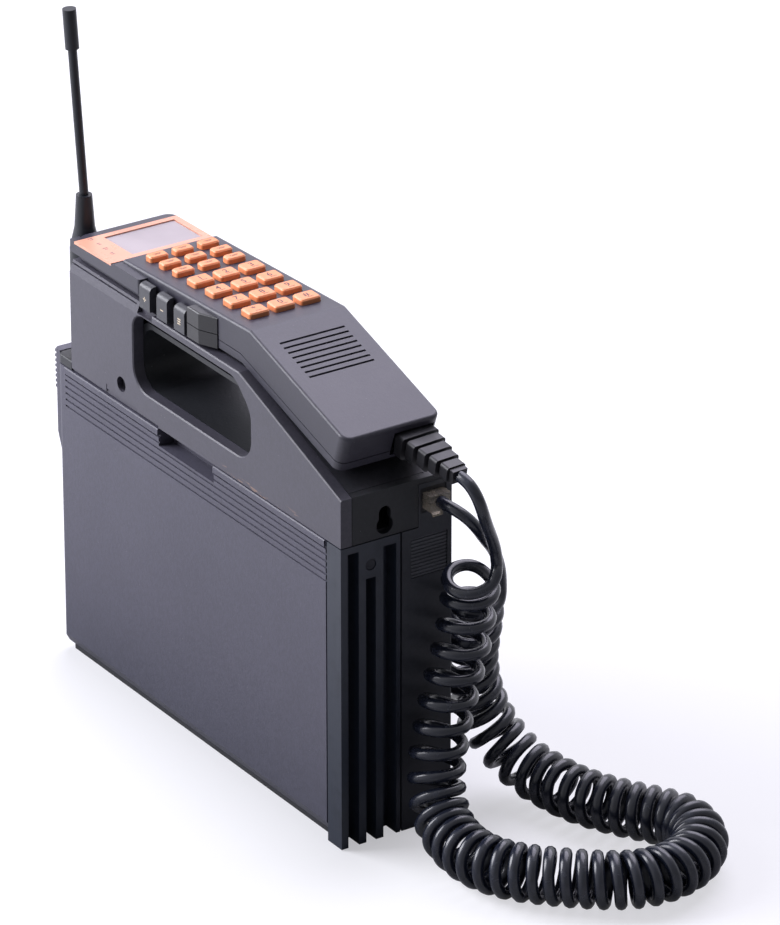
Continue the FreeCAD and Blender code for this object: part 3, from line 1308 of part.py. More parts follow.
def relief_opening(name):
    """Where the cord's sleeve passes through the front wall, on both sides of the parting line."""
    half_height = "(relief_height / 2 + relief_gap * 2)"
    return box(name, (along(f"{FRONT} - relief_setback - relief_neck - 1"), along(f"{FRONT} + 2")),
               ("relief_y - relief_width / 2 - relief_gap", "relief_y + relief_width / 2 + relief_gap"),
               (f"{UNDER} + relief_lift - {half_height}", f"{UNDER} + relief_lift + {half_height}"))


def bezel_prism(name, start, end, low_y, high_y, low, high):
    """A plate that follows the display end's slope, between two heights over its face."""
    return prism(name, "XZ",
                 [(along(start), f"{shoulder(start)} + ({low})"),
                  (along(end), f"{shoulder(end)} + ({low})"),
                  (along(end), f"{shoulder(end)} + ({high})"),
                  (along(start), f"{shoulder(start)} + ({high})")],
                 low_y, high_y)


def make_display():
    """Surround, window and the liquid-crystal module under it."""
    plate = bezel_prism("bezel_plate", "bezel_start_x", "bezel_end_x", "-handset_half - rail_out",
                        "handset_half - bezel_inset", "bezel_proud - bezel_thickness", "bezel_proud")
    view = box("bezel_view", (along("window_start_x"), along("window_end_x")),
               ("window_low_y", "window_high_y"),
               (f"{shoulder('handset_x')} - 5", f"{shoulder('step_x')} + 5"))
    node("display_bezel", cut("display_bezel", plate, view))
    floor = "bezel_proud - bezel_thickness"
    node("display_window",
         bezel_prism("window_pane", "window_start_x + plug_gap", "window_end_x - plug_gap",
                     "window_low_y + plug_gap", "window_high_y - plug_gap", floor,
                     "bezel_proud - window_drop"))
    node("lcd_module",
         bezel_prism("lcd_block", "window_start_x - module_margin", "window_end_x + module_margin",
                     "window_low_y - module_margin", "window_high_y + module_margin",
                     "-handset_wall - module_gap - module_thickness", "-handset_wall - module_gap"))


def make_bottom_shell():
    """Lower half of the handset, with the earpiece and mouthpiece bosses that fill the cups."""
    seam = "parting_gap / 2"
    half = "handset_half"
    wall = "handset_wall"
    profile = prism("bottom_profile", "XZ",
                    [(along("handset_x"), UNDER), (along(UNDER_BEND), UNDER),
                     (along(UNDER_FRONT), f"{UNDER} + under_front_lift"),
                     (along(PARTING_FRONT), f"{UNDER} + parting_front_lift - {seam}"),
                     (along(PARTING_BEND), f"{UNDER} + parting_lift - {seam}"),
                     (along("handset_x"), f"{UNDER} + parting_lift - {seam}")],
                    f"-{half}", half)
    blank = round_corners(profile)
    ear_foot = f"{TRAY} - ear_cup_depth + running_gap"
    ear_boss = cylinder("ear_boss", "Z", (along("ear_cup_x"), "0", ear_foot), "ear_boss_radius",
                        f"{UNDER} + 1 - ({ear_foot})")
    mouth_foot = "-mouth_cup_depth + running_gap"
    mouth_boss = mouth_block("mouth_boss", "mouth_boss_length / 2", "mouth_boss_width / 2",
                             over_tray(mouth_foot), over_underside("boss_bite"))
    block = rail_block("rail_block_lower", f"{UNDER} + block_under_lift",
                       f"{UNDER} + block_parting_lift - {seam}")
    room = prism("bottom_room", "XZ",
                 [(along(f"handset_x + {wall}"), f"{UNDER} + {wall}"),
                  (along(UNDER_BEND), f"{UNDER} + {wall}"),
                  (along(f"{UNDER_FRONT} - {wall}"), f"{UNDER} + under_front_lift + {wall}"),
                  (along(f"{PARTING_FRONT} - {wall}"), f"{UNDER} + parting_front_lift + 2"),
                  (along(PARTING_BEND), f"{UNDER} + parting_lift + 2"),
                  (along(f"handset_x + {wall}"), f"{UNDER} + parting_lift + 2")],
                 f"-{half} + {wall}", f"{half} - {wall}")
    ear_room = cylinder("ear_room", "Z", (along("ear_cup_x"), "0", f"{ear_foot} + {wall}"),
                        f"ear_boss_radius - {wall}", f"{UNDER} + {wall} + 1 - ({ear_foot})")
    mouth_room = mouth_block("mouth_room", f"mouth_boss_length / 2 - {wall}", f"mouth_boss_width / 2 - {wall}",
                             over_tray(f"{mouth_foot} + {wall}"), over_underside(f"{wall} + boss_bite"))
    sound = [cylinder("ear_sound_0", "Z", (along("ear_cup_x"), "0", f"{ear_foot} - 1"),
                      "sound_hole_radius", f"{wall} + 2")]
    for number in range(6):
        turn = math.radians(60 * number)
        sound.append(cylinder(f"ear_sound_{number + 1}", "Z",
                              (f"{along('ear_cup_x')} + {math.cos(turn):.4f} * earpiece_radius / 2",
                               f"{math.sin(turn):.4f} * earpiece_radius / 2", f"{ear_foot} - 1"),
                              "sound_hole_radius", f"{wall} + 2"))
    relief_hole = relief_opening("relief_hole_lower")
    shell = fuse("bottom_shell", blank, ear_boss, mouth_boss, block)
    node("handset_bottom_shell",
         cut("handset_bottom_shell", shell, room, ear_room, mouth_room, relief_hole, *sound))

    node("earpiece_speaker", cylinder("earpiece", "Z", (along("ear_cup_x"), "0", f"{ear_foot} + {wall}"),
                                      "earpiece_radius", "earpiece_height"))
    mic_floor = f"{tray_top(MOUTH + ' - microphone_radius')} - mouth_cup_depth + running_gap * 2 + {wall}"
    node("microphone", cylinder("microphone_can", "Z", (along(MOUTH), "0", mic_floor),
                                "microphone_radius", "microphone_height"))


def make_strain_relief():
    """The stepped rubber sleeve that the handset's cord leaves by: ribs on a core, each smaller."""
    last = "(relief_segments - 1)"
    pieces = [box("relief_core", ("-relief_neck", f"{last} * relief_pitch + relief_rib + relief_tail"),
                  ("-relief_core_width / 2", "relief_core_width / 2"),
                  ("-relief_core_height / 2", "relief_core_height / 2"))]
    for number in range(int(value("relief_segments"))):
        width = f"(relief_width - {number} * (relief_width - relief_end_width) / {last})"
        height = f"(relief_height - {number} * (relief_height - relief_end_height) / {last})"
        rib = box(f"relief_rib_{number}",
                  (f"{number} * relief_pitch", f"{number} * relief_pitch + relief_rib"),
                  (f"-{width} / 2", f"{width} / 2"), (f"-{height} / 2", f"{height} / 2"))
        pieces.append(round_edges(rib, "relief_round", lambda middle, way: runs_along(way, "x")))
    sleeve = fuse("strain_relief", *pieces)
    sleeve.Placement = FreeCAD.Placement(
        Vector(), Rotation(value("relief_yaw_angle"), value("relief_pitch_angle"), 0))
    bind(sleeve, x=along(f"{FRONT} - relief_setback"), y="relief_y", z=f"{UNDER} + relief_lift")
    node("strain_relief", sleeve)


# ---------------------------------------------------------------------------------------------
# Cord
# ---------------------------------------------------------------------------------------------
def rounded_path(points):
    """Straight runs joined by tangent arcs; gives the wire, its length and the arcs' radii."""
    spots = [Vector(*point) for point in points]
    edges = []
    radii = []
    here = spots[0]
    for before, corner, after in zip(spots, spots[1:], spots[2:]):
        inward = (corner - before).normalize()
        outward = (after - corner).normalize()
        turn = inward.getAngle(outward)
        reach = 0.45 * min((corner - before).Length, (after - corner).Length)
        radius = reach / math.tan(turn / 2)
        start = corner - inward * reach
        end = corner + outward * reach
        bisector = (outward - inward).normalize()
        middle = corner + bisector * (radius / math.cos(turn / 2) - radius)
        edges.append(Part.LineSegment(here, start).toShape())
        edges.append(Part.Arc(start, middle, end).toShape())
        radii.append(radius)
        here = end
    edges.append(Part.LineSegment(here, spots[-1]).toShape())
    wire = Part.Wire(edges)
    return wire, wire.Length, radii


def make_cord(label, points, radius_name):
    """A tube of one radius along a route, checked by its volume."""
    wire, length, radii = rounded_path(points)
    radius = value(radius_name)
    first = Vector(*points[0])
    circle = Part.Wire(Part.Circle(first, Vector(*points[1]) - first, radius).toShape())
    tube = wire.makePipeShell([circle], True, False)
    expected = math.pi * radius ** 2 * length
    if abs(tube.Volume / expected - 1) > 0.005:
        raise ValueError(f"{label}: volume {tube.Volume:.0f} is not section times length {expected:.0f}")
    piece = DOC.addObject("Part::Feature", label + "_tube")
    piece.Shape = tube
    node(label, piece)
    print(f"{label}: length {length:.1f}, radii", " ".join(f"{bend:.0f}" for bend in radii))


def check_document():
    """Stop before anything is written if an object failed or a sub-part has no valid shape."""
    for item in DOC.Objects:
        if "Invalid" in item.State or "Error" in item.State:
            raise RuntimeError(f"{item.Name} failed: {item.State}")
    for item in NODES:
        if item.Shape.isNull() or not item.Shape.isValid() or not item.Shape.Solids:
            raise RuntimeError(f"{item.Label} has no valid solid")


def write_parts():
    """Write each sub-part to its own STEP file."""
    os.makedirs("parts", exist_ok=True)
    for item in NODES:
        item.Shape.exportStep(f"parts/{item.Label}.step")


fill_sheet()
make_chassis()
make_battery()
make_heat_sink()
make_rear_shell()
make_transceiver()
make_socket_and_plug()
make_side_cover()
make_console_body()
make_cradle()
make_case_screws()
make_antenna()
keypad_posts = make_keys()
side_key_rooms = make_side_keys()
make_top_shell(keypad_posts, side_key_rooms)
make_display()
make_bottom_shell()
make_strain_relief()
make_cord("handset_lead", HANDSET_LEAD, "cable_radius")
make_cord("curly_cord", COIL, "coil_radius")
make_cord("plug_lead", PLUG_LEAD, "cable_radius")
DOC.recompute()
check_document()
write_parts()
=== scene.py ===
# %% [markdown]
# # A transportable cellular telephone, finished for rendering
#
# The engineering model already holds every rigid piece of this telephone at its true
# size: the battery pack, the transceiver under its console, the handset on top and the
# antenna. This script dresses that model. It gives each piece the finish of the real
# one, and it makes the pieces that a solid modeller can't make well: the two soft leads,
# the curly cord between them, and the small marks printed on the keys.

# %% Load the engineering model
import math

import bmesh
import bpy
from mathutils import Matrix, Vector


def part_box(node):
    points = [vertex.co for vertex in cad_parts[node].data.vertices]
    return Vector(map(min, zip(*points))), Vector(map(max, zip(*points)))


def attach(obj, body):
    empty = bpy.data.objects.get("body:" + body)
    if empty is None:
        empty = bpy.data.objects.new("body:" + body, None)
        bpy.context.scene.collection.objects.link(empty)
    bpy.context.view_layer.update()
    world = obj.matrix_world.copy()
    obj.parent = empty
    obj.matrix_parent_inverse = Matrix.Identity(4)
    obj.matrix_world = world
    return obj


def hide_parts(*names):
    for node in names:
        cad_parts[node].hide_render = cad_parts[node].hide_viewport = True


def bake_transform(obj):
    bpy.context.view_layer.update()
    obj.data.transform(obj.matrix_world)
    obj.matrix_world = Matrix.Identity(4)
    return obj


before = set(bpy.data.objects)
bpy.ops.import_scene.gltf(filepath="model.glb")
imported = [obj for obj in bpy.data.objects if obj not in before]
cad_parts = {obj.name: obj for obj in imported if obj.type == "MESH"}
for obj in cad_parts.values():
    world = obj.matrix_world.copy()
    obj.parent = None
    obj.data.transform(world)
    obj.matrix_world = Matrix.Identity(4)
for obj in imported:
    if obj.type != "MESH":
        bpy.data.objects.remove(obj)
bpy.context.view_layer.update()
MM = 0.001

# %% [markdown]
# ## The camera
#
# A long lens from about three metres away keeps the sides of the telephone almost
# parallel, which is how a product studio shows a box. The camera is aimed by building
# its rotation from the line of sight, so there is no angle to guess.

# %% Camera
CAMERA_PLACE = Vector((2.4292, -1.5357, 1.5072))
CAMERA_TARGET = Vector((0.01956, 0.06957, 0.13712))
LENS_MM = 251.9
SENSOR_MM = 36
FARTHEST_SEEN = 40

camera_data = bpy.data.cameras.new("studio_camera")
camera_data.lens = LENS_MM
camera_data.sensor_width = SENSOR_MM
camera_data.clip_end = FARTHEST_SEEN
camera = bpy.data.objects.new("studio_camera", camera_data)
bpy.context.scene.collection.objects.link(camera)
camera.location = CAMERA_PLACE
camera.rotation_euler = (CAMERA_TARGET - CAMERA_PLACE).to_track_quat("-Z", "Y").to_euler()
bpy.context.scene.camera = camera
print("camera distance", round((CAMERA_TARGET - CAMERA_PLACE).length, 3))

# %% [markdown]
# ## A small language for shaders
#
# A material is a graph of nodes, and graphs are long to write by hand. `Field` wraps one
# socket and overloads the arithmetic operators, so `1 - mask * 0.4` builds its own Math
# nodes. `above` turns a value into a mask with a soft edge.


# %% Arithmetic on values
class Field:
    """A value that changes over a surface: one output socket of a shader node."""

    def __init__(self, finish, socket):
        self.finish = finish
        self.socket = socket

    def math(self, operation, other, swapped=False):
        first, second = (other, self) if swapped else (self, other)
        return self.finish.node("Math", {"operation": operation}, {0: first, 1: second})

    def __add__(self, other):
        return self.math("ADD", other)

    def __sub__(self, other):
        return self.math("SUBTRACT", other)

    def __rsub__(self, other):
        return self.math("SUBTRACT", other, swapped=True)

    def __mul__(self, other):
        return self.math("MULTIPLY", other)

    def __pow__(self, other):
        return self.math("POWER", other)

    __radd__ = __add__
    __rmul__ = __mul__

    def above(self, low, high):
        """0 below low, 1 above high, and a smooth step between."""
        settings = {"interpolation_type": "SMOOTHSTEP"}
        return self.finish.node("MapRange", settings, {0: self, 1: low, 2: high})


print("arithmetic on values ready")

# %% [markdown]
# ## One object for each material
#
# `Finish` owns one material. Its `node` method makes any node from a type, its settings
# and the values or links of its sockets, and `surface` fills in the shader. Patterns read
# the place on the piece, which is in metres, so each has its true size on every piece.


# %% Materials
class Finish:
    """One material, with its shader ready to be given values."""

    def __init__(self, name):
        self.material = bpy.data.materials.new(name)
        self.material.use_nodes = True
        self.tree = self.material.node_tree
        self.tree.nodes.clear()
        self.shader = self.tree.nodes.new("ShaderNodeBsdfPrincipled")
        output = self.tree.nodes.new("ShaderNodeOutputMaterial")
        self.tree.links.new(self.shader.outputs[0], output.inputs[0])

    def put(self, socket, value):
        if isinstance(value, Field):
            self.tree.links.new(value.socket, socket)
        elif hasattr(socket.default_value, "__len__") and len(socket.default_value) == 4:
            socket.default_value = (*value, 1) if len(value) == 3 else value
        else:
            socket.default_value = value

    def node(self, kind, settings=None, sockets=None, output=0):
        made = self.tree.nodes.new("ShaderNode" + kind)
        for name, value in (settings or {}).items():
            setattr(made, name, value)
        for name, value in (sockets or {}).items():
            self.put(made.inputs[name], value)
        return Field(self, made.outputs[output])

    def surface(self, **values):
        for name, value in values.items():
            self.put(self.shader.inputs[name.replace("_", " ")], value)
        return self.material

    def place(self):
        """Where a point is on its piece, in metres."""
        return self.node("TexCoord", output=3)

    def axis(self, index):
        """One coordinate of that place."""
        return self.node("SeparateXYZ", sockets={0: self.place()}, output=index)

    def noise(self, per_metre, detail=3, roughness=0.55, stretch=(1, 1, 1)):
        """Soft random blotches, so many to the metre."""
        place = self.node("Mapping", sockets={"Vector": self.place(), "Scale": stretch})
        sockets = {"Vector": place, "Scale": per_metre, "Detail": detail, "Roughness": roughness}
        return self.node("TexNoise", sockets=sockets)

    def mix(self, first, second, amount, how="MIX"):
        """One colour turning into another, or multiplied by it."""
        settings = {"data_type": "RGBA", "blend_type": how}
        return self.node("Mix", settings, {"Factor": amount, 6: first, 7: second}, output=2)

    def bump(self, height, depth, strength):
        """A normal from a height, where depth is in metres."""
        sockets = {"Height": height, "Distance": depth, "Strength": strength}
        return self.node("Bump", sockets=sockets)


print("shader helpers ready")

# %% [markdown]
# ## Moulded plastic
#
# Nearly the whole telephone is charcoal plastic. The steel of its moulds was eroded by
# sparks, so the surface is a field of tiny pits. Two scales do the work: a fine
# noise for the pits, which feeds the bump, and a coarser mottle of about two millimetres,
# which feeds the colour and the roughness. A very broad one stands for handling, which has
# polished some places. A few light specks are the dust that such plastic always carries.
# The battery pack also has a painted shade near its foot: a mask from the height darkens
# its colour there.

# %% The moulded finish
MOTTLE_PER_METRE = 480
HANDLING_PER_METRE = 7
DUST_PER_METRE = 900
DUST_COLOUR = (0.42, 0.41, 0.43)
DUST_SHARE = 0.25


def moulded(name, colour, roughness, grain=1400, pit=0.00004, sheen=0.5):
    """Pitted plastic. The grain is in pits to the metre and the pit's depth in metres."""
    finish = Finish(name)
    pits = finish.noise(grain, detail=2)
    mottle = finish.noise(MOTTLE_PER_METRE, detail=4, roughness=0.7).above(0.35, 0.68)
    handled = finish.noise(HANDLING_PER_METRE, detail=3).above(0.3, 0.7)
    specks = finish.noise(DUST_PER_METRE, detail=1).above(0.78, 0.82) * DUST_SHARE
    paler = tuple(min(1, c * 1.45 + 0.004) for c in colour)
    body = finish.mix(colour, paler, mottle * 0.6 + handled * 0.3)
    finish.surface(
        Base_Color=finish.mix(body, DUST_COLOUR, specks),
        Roughness=roughness + 0.05 * (1 - handled) + 0.06 * mottle,
        Normal=finish.bump(pits + mottle * 0.6, pit, 0.8),
        Specular_IOR_Level=sheen,
    )
    return finish


def repaint(finish, colour, amount, how="MIX"):
    """Lay another colour over what already feeds the base colour."""
    under = Field(finish, finish.shader.inputs["Base Color"].links[0].from_socket)
    finish.surface(Base_Color=finish.mix(under, colour, amount, how))


case_finish = moulded("case_plastic", (0.049, 0.0475, 0.068), 0.46, 1100, 0.00006)
# Painted shade: the colour of the battery pack is darkened towards its foot.
painted_foot_shade = 1 - case_finish.axis(2).above(-0.02, 0.075)
repaint(case_finish, (0.74, 0.77, 0.80), painted_foot_shade, "MULTIPLY")
case_plastic = case_finish.material
tray_plastic = moulded("tray_plastic", (0.022, 0.022, 0.028), 0.40, sheen=0.4).material
# Painted shade: rear_plastic and console_plastic are darker copies of the charcoal plastic, for
# the ends of the telephone that face away from the lamps.
rear_plastic = moulded("rear_plastic", (0.018, 0.020, 0.027), 0.44, sheen=0.45).material
console_plastic = moulded("console_plastic", (0.009, 0.010, 0.013), 0.42, sheen=0.4).material
side_key_plastic = moulded("side_key_plastic", (0.030, 0.031, 0.038), 0.34).material
socket_plastic = moulded("socket_plastic", (0.008, 0.008, 0.010), 0.5, sheen=0.3).material
print("moulded plastics ready")

# %% [markdown]
# ## The handset and its grip block
#
# The handset is moulded like the case, with a finer grain. The block at the end of its side
# keys is where a thumb rests: years of skin have polished it darker and glossier than the
# rest. A mask made from the place on the piece picks out that block. The side that holds
# the side keys has a painted shade: a second mask darkens its colour a little.

# %% The handset finish
handset_finish = moulded("handset_plastic", (0.031, 0.029, 0.043), 0.36, 1900, 0.00003)
on_side = 1 - handset_finish.axis(1).above(-0.0282, -0.0276)
past_keys = handset_finish.axis(0).above(-0.0056, -0.0046)
short_of_bend = 1 - handset_finish.axis(0).above(0.0165, 0.0175)
thumbed = on_side * past_keys * short_of_bend
# Painted shade: the side that holds the side keys is darkened a little.
painted_side_shade = 1 - handset_finish.axis(1).above(-0.0276, -0.0262)
repaint(handset_finish, (0.76, 0.78, 0.80), painted_side_shade, "MULTIPLY")
repaint(handset_finish, (0.010, 0.010, 0.012), thumbed * 0.92)
gloss = Field(handset_finish, handset_finish.shader.inputs["Roughness"].links[0].from_socket)
handset_finish.surface(Roughness=gloss - thumbed * 0.06)
handset_plastic = handset_finish.material
print("handset ready")

# %% [markdown]
# ## The scuffed side cover
#
# The cover round the carrying handle has been knocked along its lower edge, where the
# battery pack slides in, and a little brown dirt has stayed in the scratches. The wear
# sits where hands and packs really rub, so its mask comes from the place on the piece:
# a band low on the cover, broken up by noise.

# %% The scuffed cover finish
cover_finish = moulded("cover_plastic", (0.044, 0.042, 0.057), 0.40)
low_edge = 1 - cover_finish.axis(2).above(0.1640, 0.1662)
beyond_notch = cover_finish.axis(0).above(0.015, 0.030)
short_of_corner = 1 - cover_finish.axis(0).above(0.090, 0.112)
scratched = cover_finish.noise(330, detail=4, stretch=(0.25, 1, 1)).above(0.52, 0.62)
scuffs = low_edge * beyond_notch * short_of_corner * scratched
repaint(cover_finish, (0.30, 0.19, 0.14), scuffs * 0.75)
cover_plastic = cover_finish.material
print("scuffed cover ready")

# %% [markdown]
# ## Rubber, printed trim and soft plastic
#
# The antenna and the strain relief are rubber: rough, almost black, and never quite even.
# The keys and the display surround are a satin orange, faded in patches, and hands have
# rubbed some places shinier.


# %% Orange and black soft finishes
def rubber(name, colour, roughness, grain=1100):
    finish = Finish(name)
    dull = finish.noise(60, detail=4).above(0.4, 0.7)
    pits = finish.noise(grain, detail=2)
    chalky = tuple(c * 1.6 + 0.006 for c in colour)
    finish.surface(
        Base_Color=finish.mix(colour, chalky, dull * 0.5),
        Roughness=roughness + 0.12 * dull,
        Normal=finish.bump(pits, 0.00003, 0.6),
        Specular_IOR_Level=0.4,
    )
    return finish.material


def satin_orange(name, colour, roughness):
    finish = Finish(name)
    rubbed = finish.noise(160, detail=3).above(0.3, 0.75)
    faded = finish.noise(30, detail=2).above(0.3, 0.75)
    lighter = tuple(min(1, c * 1.08 + 0.02) for c in colour)
    finish.surface(
        Base_Color=finish.mix(colour, lighter, faded * 0.6),
        Roughness=roughness - 0.06 * rubbed,
        Normal=finish.bump(finish.noise(1500), 0.00001, 0.5),
        Specular_IOR_Level=0.5,
    )
    return finish.material


antenna_rubber = rubber("antenna_rubber", (0.008, 0.010, 0.015), 0.38)
relief_rubber = rubber("relief_rubber", (0.012, 0.012, 0.015), 0.40)
speaker_black = rubber("speaker_black", (0.078, 0.081, 0.094), 0.5, 2200)
key_rubber = satin_orange("key_rubber", (0.88, 0.31, 0.125), 0.40)
orange_trim = satin_orange("orange_trim", (0.82, 0.39, 0.265), 0.32)
print("soft finishes ready")

# %% [markdown]
# ## Cord jacket
#
# The cords are sheathed in glossy soft vinyl. It is almost black and its character is in
# its reflections, so the base is plain and the roughness is low. Long wear leaves it
# slightly wavy, which a broad shallow bump gives.


# %% The cord finish
def vinyl(name, colour, roughness):
    finish = Finish(name)
    scuffed = finish.noise(120, detail=5, roughness=0.65).above(0.5, 0.75)
    waves = finish.noise(300, detail=1)
    chalky = tuple(c * 2.2 + 0.01 for c in colour)
    finish.surface(
        Base_Color=finish.mix(colour, chalky, scuffed * 0.5),
        Roughness=roughness + 0.10 * scuffed,
        Normal=finish.bump(waves, 0.0001, 0.25),
        Specular_IOR_Level=0.5,
    )
    return finish.material


cord_jacket = vinyl("cord_jacket", (0.011, 0.014, 0.026), 0.24)
print("cord finish ready")

# %% [markdown]
# ## Metals
#
# The heat sink is an aluminium extrusion, anodised black: its drawing lines run up the
# fins, so the noise that breaks up its gloss is stretched along Z. The antenna socket is
# bright nickel, the contacts are brass gone a little brown, and the cans are tin plate.
# The frame that carries everything is sheet steel with a dark coating.


# %% Metal finishes
def metal(name, colour, roughness, stretch=(1, 1, 1), metallic=1.0, per_metre=500):
    finish = Finish(name)
    lines = finish.noise(per_metre, detail=3, stretch=stretch)
    tarnish = finish.noise(90, detail=4).above(0.45, 0.75)
    darker = tuple(c * 0.62 for c in colour)
    finish.surface(
        Base_Color=finish.mix(colour, darker, tarnish * 0.6),
        Roughness=roughness + 0.12 * lines + 0.1 * tarnish,
        Normal=finish.bump(lines, 0.00003, 0.4),
        Metallic=metallic,
    )
    return finish.material


sink_metal = metal("sink_metal", (0.015, 0.020, 0.034), 0.34, (1, 1, 0.03), 0.0, 1200)
connector_nickel = metal("connector_nickel", (0.80, 0.78, 0.72), 0.14)
contact_brass = metal("contact_brass", (0.72, 0.52, 0.24), 0.22)
can_metal = metal("can_metal", (0.66, 0.67, 0.68), 0.28)
chassis_steel = metal("chassis_steel", (0.030, 0.031, 0.036), 0.42, metallic=0.3)
screw_steel = metal("screw_steel", (0.035, 0.036, 0.042), 0.30)
print("metal finishes ready")

# %% [markdown]
# ## Clear pieces, glass and boards
#
# The display window is a thin clear sheet over a pale liquid-crystal module. The plug at
# the end of the cord is clear polycarbonate that has yellowed. Real refraction is used
# for the plug because its thickness shows, and plain transparency for the thin window.


# %% Clear and inner finishes
def clear_sheet():
    finish = Finish("window_clear")
    smears = finish.noise(60, detail=3).above(0.35, 0.8)
    finish.surface(
        Base_Color=(0.61, 0.54, 0.57),
        Roughness=0.12 + 0.08 * smears,
        Alpha=0.74 + 0.04 * smears,
        Specular_IOR_Level=0.6,
    )
    return finish.material


def clear_moulding():
    finish = Finish("plug_clear")
    clouds = finish.noise(500, detail=3).above(0.4, 0.8)
    finish.surface(
        Base_Color=finish.mix((0.94, 0.88, 0.78), (0.70, 0.58, 0.46), clouds * 0.7),
        Roughness=0.10 + 0.15 * clouds,
        Normal=finish.bump(finish.noise(700), 0.00008, 0.4),
        Transmission_Weight=0.85,
        IOR=1.5,
    )
    return finish.material


def crystal_module():
    finish = Finish("module_glass")
    cast = finish.noise(18, detail=2).above(0.35, 0.7)
    finish.surface(
        Base_Color=finish.mix((0.60, 0.55, 0.60), (0.72, 0.66, 0.70), cast),
        Roughness=0.24 + 0.06 * cast,
    )
    return finish.material


def laminate():
    finish = Finish("board_laminate")
    weave = finish.noise(1300, detail=1)
    copper = finish.noise(320, detail=0).above(0.50, 0.52)
    finish.surface(
        Base_Color=finish.mix((0.015, 0.085, 0.045), (0.03, 0.16, 0.08), copper),
        Roughness=0.34 + 0.1 * weave,
        Normal=finish.bump(copper, 0.00003, 0.8),
    )
    return finish.material


window_clear = clear_sheet()
plug_clear = clear_moulding()
module_glass = crystal_module()
board_laminate = laminate()
cell_jacket = rubber("cell_jacket", (0.05, 0.12, 0.30), 0.34)
print("clear and inner finishes ready")

# %% [markdown]
# ## Give every engineering piece its finish
#
# Each name on the left is a finish, and the words on the right start the names of the
# pieces that carry it. The last line prints the pieces that were forgotten, if any.

# %% Assign the finishes
FINISH_OF = [
    (case_plastic, "battery_case battery_latch"),
    (rear_plastic, "rear_shell"),
    (tray_plastic, "handset_cradle hook_plunger battery_inner_cover"),
    (console_plastic, "console_body"),
    (cover_plastic, "console_side_cover"),
    (handset_plastic, "handset_top_shell handset_bottom_shell"),
    (side_key_plastic, "volume_up_key volume_down_key menu_key"),
    (key_rubber, "function_key digit_key"),
    (orange_trim, "display_bezel"),
    (window_clear, "display_window"),
    (module_glass, "lcd_module"),
    (board_laminate, "transceiver_board keypad_board"),
    (can_metal, "shield_cans"),
    (chassis_steel, "chassis_frame"),
    (sink_metal, "heat_sink"),
    (cell_jacket, "battery_cells"),
    (contact_brass, "battery_contacts"),
    (connector_nickel, "antenna_connector antenna_collar"),
    (screw_steel, "case_screws"),
    (antenna_rubber, "antenna_boot antenna_whip antenna_tip"),
    (relief_rubber, "strain_relief"),
    (plug_clear, "modular_plug"),
    (socket_plastic, "modular_socket"),
    (speaker_black, "speaker_grille ringer_speaker earpiece_speaker microphone"),
]
finished = set()
for finish, words in FINISH_OF:
    for name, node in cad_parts.items():
        if name.startswith(tuple(words.split())):
            node.data.materials.clear()
            node.data.materials.append(finish)
            finished.add(name)
print("finished", len(finished), "left", sorted(set(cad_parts) - finished))

# %% [markdown]
# ## Cords as smooth lines
#
# A cord is a smooth line with a thickness. The line is a NURBS spline of order 3, whose
# control points are laid along the way the cord goes. The order and the end rule are set
# after the points, because Blender resets them when points are added.


# %% Splines and the points they pass through
def spline(name, points, resolution, thickness=0.0, roundness=0):
    """A smooth line, and a tube round it where it has a thickness."""
    data = bpy.data.curves.new(name, "CURVE")
    data.dimensions = "3D"
    line = data.splines.new("NURBS")
    line.points.add(len(points) - 1)
    for place, point in zip(line.points, points):
        place.co = (*point, 1)
    line.order_u = 3
    line.use_endpoint_u = True
    line.resolution_u = resolution
    data.bevel_depth = thickness / 2
    data.bevel_resolution = roundness
    data.use_fill_caps = thickness > 0
    made = bpy.data.objects.new(name, data)
    bpy.context.scene.collection.objects.link(made)
    return made


def walked(points, resolution=24):
    """The points that a smooth line through these control points passes."""
    guide = spline("guide", points, resolution)
    bpy.context.view_layer.update()
    mesh = bpy.data.meshes.new_from_object(guide)
    places = [v.co.copy() for v in mesh.vertices]
    bpy.data.objects.remove(guide)
    bpy.data.meshes.remove(mesh)
    return places


def metres(*points):
    return [Vector(p) * MM for p in points]


def run_length(places):
    return sum((b - a).length for a, b in zip(places, places[1:]))


CORD = 6 * MM
print("cord helpers ready")

# %% [markdown]
# ## The handset lead
#
# The first lead leaves the ribbed strain relief under the mouthpiece, arches out over the
# end of the telephone and drops to the first turn of the coil. Its upper end is at the
# handset and its lower end at the base, and it is made as a tube mesh.

# %% Handset lead
HANDSET_LEAD = metres(
    (160, 15.5, 199.5), (165, 15.9, 198.7), (169, 17.1, 195.4), (170.8, 18.9, 190.2),
    (170.4, 21.2, 184.4), (168.8, 23.8, 178.6), (166.6, 26.8, 172.8), (164.2, 30.2, 167),
    (162.2, 33.4, 160.8), (160.4, 36.2, 153.8), (159.4, 37.6, 146.4),
)
lead_line = spline("lead_line", HANDSET_LEAD, 10, CORD, 6)
bpy.context.view_layer.update()
lead = bpy.data.objects.new("handset_lead_tube", bpy.data.meshes.new_from_object(lead_line))
bpy.context.scene.collection.objects.link(lead)
bpy.data.objects.remove(lead_line)
lead.data.materials.clear()
lead.data.materials.append(cord_jacket)
for face in lead.data.polygons:
    face.use_smooth = True
lead_path = walked(HANDSET_LEAD)
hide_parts("handset_lead")
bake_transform(lead)
print("handset lead", round(run_length(lead_path), 4))

# %% [markdown]
# ## The axis of the coil
#
# The curly cord hangs from the lead to the floor, makes one wide loop there and climbs
# back to the plug. First comes the line that the middle of the coil follows. `Axis`
# measures that line and carries a pair of cross directions along it without twist, so
# that the turns wound round it later stay even through the bends. `FIRST_SIDE` is the
# cross direction at the top, and with it where on the round the first turn begins.

